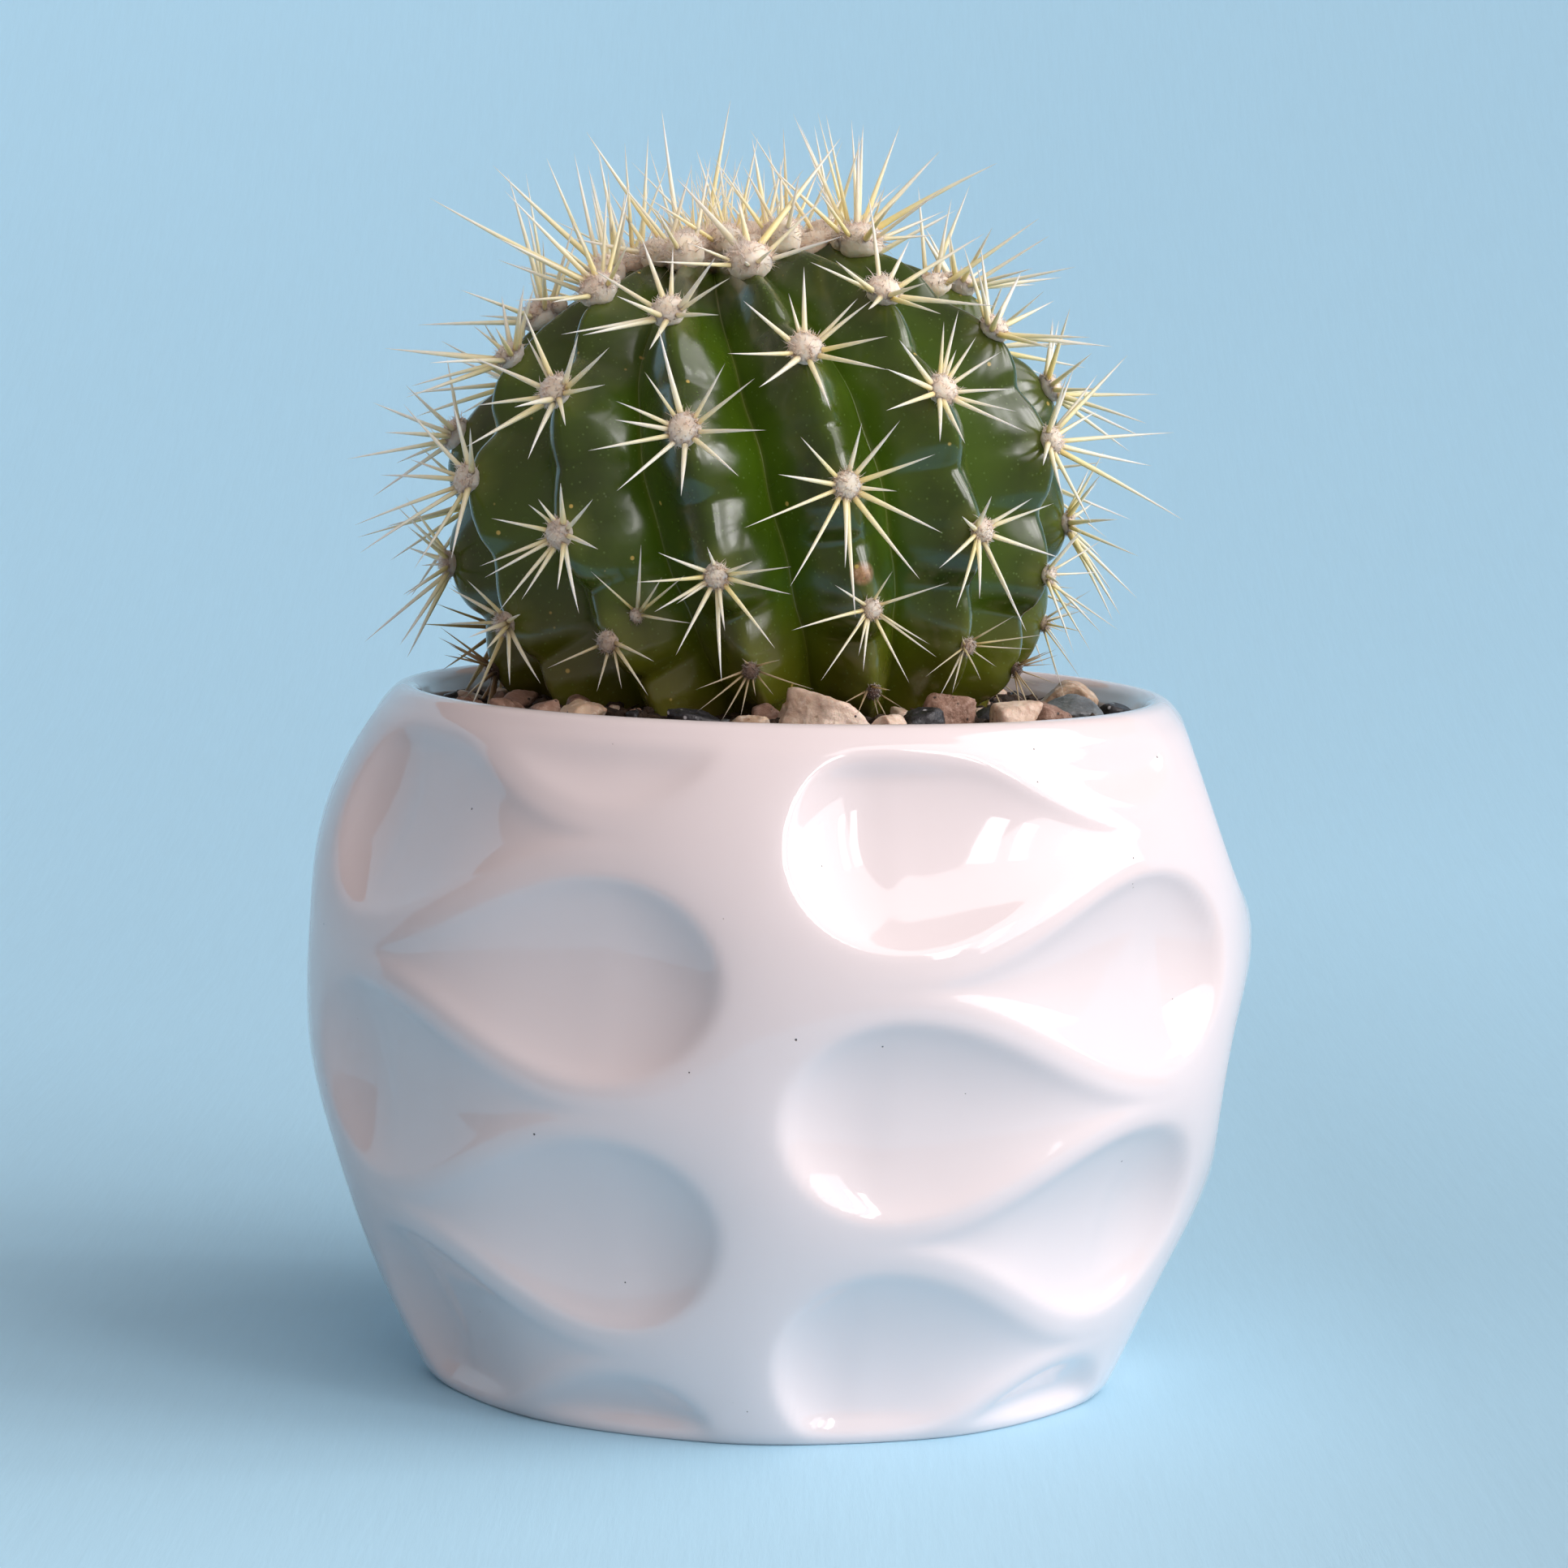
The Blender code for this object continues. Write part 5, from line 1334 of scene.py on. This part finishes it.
# ======================================================================================
# Stage
# ======================================================================================
def build_stage():
    """A pale blue board under the pot that sweeps up into a plain wall. The wall on the viewer's
    side stands only for views from behind, so it casts no light and no shadow."""
    line = [(160.0, 0.0), (200.0, 0.0)]
    for i in range(1, 17):
        a = i / 16 * math.pi / 2
        line.append((200.0 + 600.0 * math.sin(a), 330.0 * (1 - math.cos(a))))
    line += [(800.0, 480.0)]
    line = np.array(line)
    board = floor_finish("pale_blue_board", (0.44, 0.71, 0.87))
    spans = (("sweep_back", 100.0, 260.0, True), ("sweep_front", -100.0, 100.0, False))
    for name, first, last, real in spans:
        turn = np.radians(np.linspace(first, last, 61))
        rows = np.stack([np.stack([r * np.sin(turn), -r * np.cos(turn), np.full(len(turn), z - 0.02)], axis=-1) for r, z in line])
        points = rows.reshape(-1, 3)
        n = len(turn)
        base = (np.arange(len(line) - 1)[:, None] * n + np.arange(n - 1)[None, :]).reshape(-1, 1)
        quads = base + np.array([[0, n, n + 1, 1]])
        wall = build_mesh("studio_" + name, points, [quads[:, ::-1]], [board])
        wall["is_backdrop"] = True
        if not real:
            wall.visible_diffuse = wall.visible_glossy = wall.visible_shadow = wall.visible_transmission = False
    turn = np.arange(96) * TAU / 96
    rim = np.stack([200.0 * np.sin(turn), -200.0 * np.cos(turn), np.zeros(96)], axis=-1)
    points = np.vstack([rim, [[0.0, 0.0, 0.0]]])
    floor = build_mesh("studio_floor", points, [fan(96, np.arange(96))], [board])
    floor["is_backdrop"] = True


def area_light(name, azimuth, elevation, distance, width, height, radiance, colour=(1, 1, 1), target=(0, 0, 0.065), roll=0.0):
    """A lamp whose face has the given radiance. Azimuth 0 is the viewer's side and 90 is to their right."""
    data = bpy.data.lights.new(name, "AREA")
    data.shape = "RECTANGLE"
    data.size, data.size_y = width, height
    data.color = colour
    data.energy = radiance * math.pi * width * height
    obj = bpy.data.objects.new(name, data)
    bpy.context.scene.collection.objects.link(obj)
    a, e = math.radians(azimuth), math.radians(elevation)
    way = Vector((math.sin(a) * math.cos(e), -math.cos(a) * math.cos(e), math.sin(e)))
    obj.location = Vector(target) + way * distance
    obj.rotation_euler = way.to_track_quat("Z", "Y").to_euler()
    if roll:
        obj.rotation_euler.rotate_axis("Z", math.radians(roll))
    obj.visible_camera = False
    return obj


def build_lights():
    # windows with bars between their panes, in front to the right and at the right
    warm = (1.0, 0.975, 0.97)
    for number, (azimuth, elevation, width, height, level) in enumerate((
        (38, 28, 0.09, 0.46, 7.4), (47, 28, 0.09, 0.46, 7.4), (66, 27, 0.15, 0.50, 7.0), (77, 27, 0.15, 0.50, 7.0),
        (92, 27, 0.14, 0.50, 7.0),
    )):
        area_light(f"window_{number}", azimuth, elevation, 1.25, width, height, level, warm)
    area_light("bright_wall", 78, 36, 1.5, 1.9, 1.5, 2.1, (1.0, 0.955, 0.965))
    # the room in front has no edges of its own, so the lamp for it isn't mirrored in the glaze
    front = area_light("front_room", 20, 33, 1.5, 1.1, 0.9, 2.2, (1.0, 0.92, 0.92))
    front.visible_glossy = False
    world = bpy.data.worlds.new("room")
    bpy.context.scene.world = world
    world.use_nodes = True
    back = world.node_tree.nodes["Background"]
    back.inputs["Color"].default_value = (1.0, 0.80, 0.76, 1.0)
    # the room is darker on the viewer's left than on their right
    tree = world.node_tree
    way, split, level = (tree.nodes.new("ShaderNode" + kind) for kind in ("TexCoord", "SeparateXYZ", "MapRange"))
    tree.links.new(way.outputs["Generated"], split.inputs[0])
    tree.links.new(split.outputs["X"], level.inputs["Value"])
    level.inputs["From Min"].default_value, level.inputs["From Max"].default_value = -0.8, 0.8
    level.inputs["To Min"].default_value, level.inputs["To Max"].default_value = 0.27, 0.40
    tree.links.new(level.outputs["Result"], back.inputs["Strength"])


def build_camera():
    data = bpy.data.cameras.new("camera")
    data.sensor_width = 36.0
    data.lens = 112.115
    data.clip_start, data.clip_end = 0.01, 20.0
    obj = bpy.data.objects.new("camera", data)
    bpy.context.scene.collection.objects.link(obj)
    obj.location = (0.000302, -0.481143, 0.110250)
    turn = Matrix.Rotation(math.pi / 2 - 0.107013, 4, "X") @ Matrix.Rotation(0.022969, 4, "Z")
    obj.rotation_euler = turn.to_euler()
    bpy.context.scene.camera = obj


# ======================================================================================
# Build
# ======================================================================================
build_camera()
scene = bpy.context.scene
scene.view_settings.view_transform = "Standard"
scene.view_settings.look = "None"

glaze, skin, felt, straw, earth = glaze_finish(), skin_finish(), felt_finish(), spine_finish(), soil_finish()
rocks = {
    "quartz": quartz_finish("beige_quartz_stone", 0.0), "tan": quartz_finish("tan_quartz_stone", 1.0),
    "basalt": basalt_finish(), "granite": granite_finish(), "slate": slate_finish(),
}

pot = build_pot(glaze)
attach(pot, "root")
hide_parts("pot")

stem = build_stem(skin)
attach(stem, "root")
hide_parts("stem")
stem_tree = tree_of(stem)

nodes = set(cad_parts)
for (rib, row), (lon, z) in sorted(STEM.sites.items()):
    if z > 19:
        continue
    base, _, _ = STEM.frame(rib, 0.0, z)
    if base[2] < float(soil_height(base[0:1], base[1:2])[0]) + 0.9:
        continue
    node = f"areole_rib{rib + 1:02d}_{row + 1}"
    build_areole(f"spine_cluster_rib{rib + 1:02d}_{row + 1}", rib, 0.0, z, SPINES.get((rib, row)),
                 node if node in nodes else None, felt, straw, stem_tree, 1000 + rib * 10 + row)
rib, s, z = EXTRA_SITE
build_areole("spine_cluster_small", rib, s, z, SPINES["extra"], None, felt, straw, stem_tree, 1999, small=0.62)
build_crown(felt, straw, stem_tree)

build_soil(earth)
build_stones(rocks)
build_gravel(rocks, earth, stem_tree)
build_stage()
build_lights()

left = [n for n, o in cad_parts.items() if not o.hide_render]
print("CAD nodes still shown:", left)
total = sum(len(o.data.loop_triangles) or sum(len(p.vertices) - 2 for p in o.data.polygons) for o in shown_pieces())
print("triangles:", total)
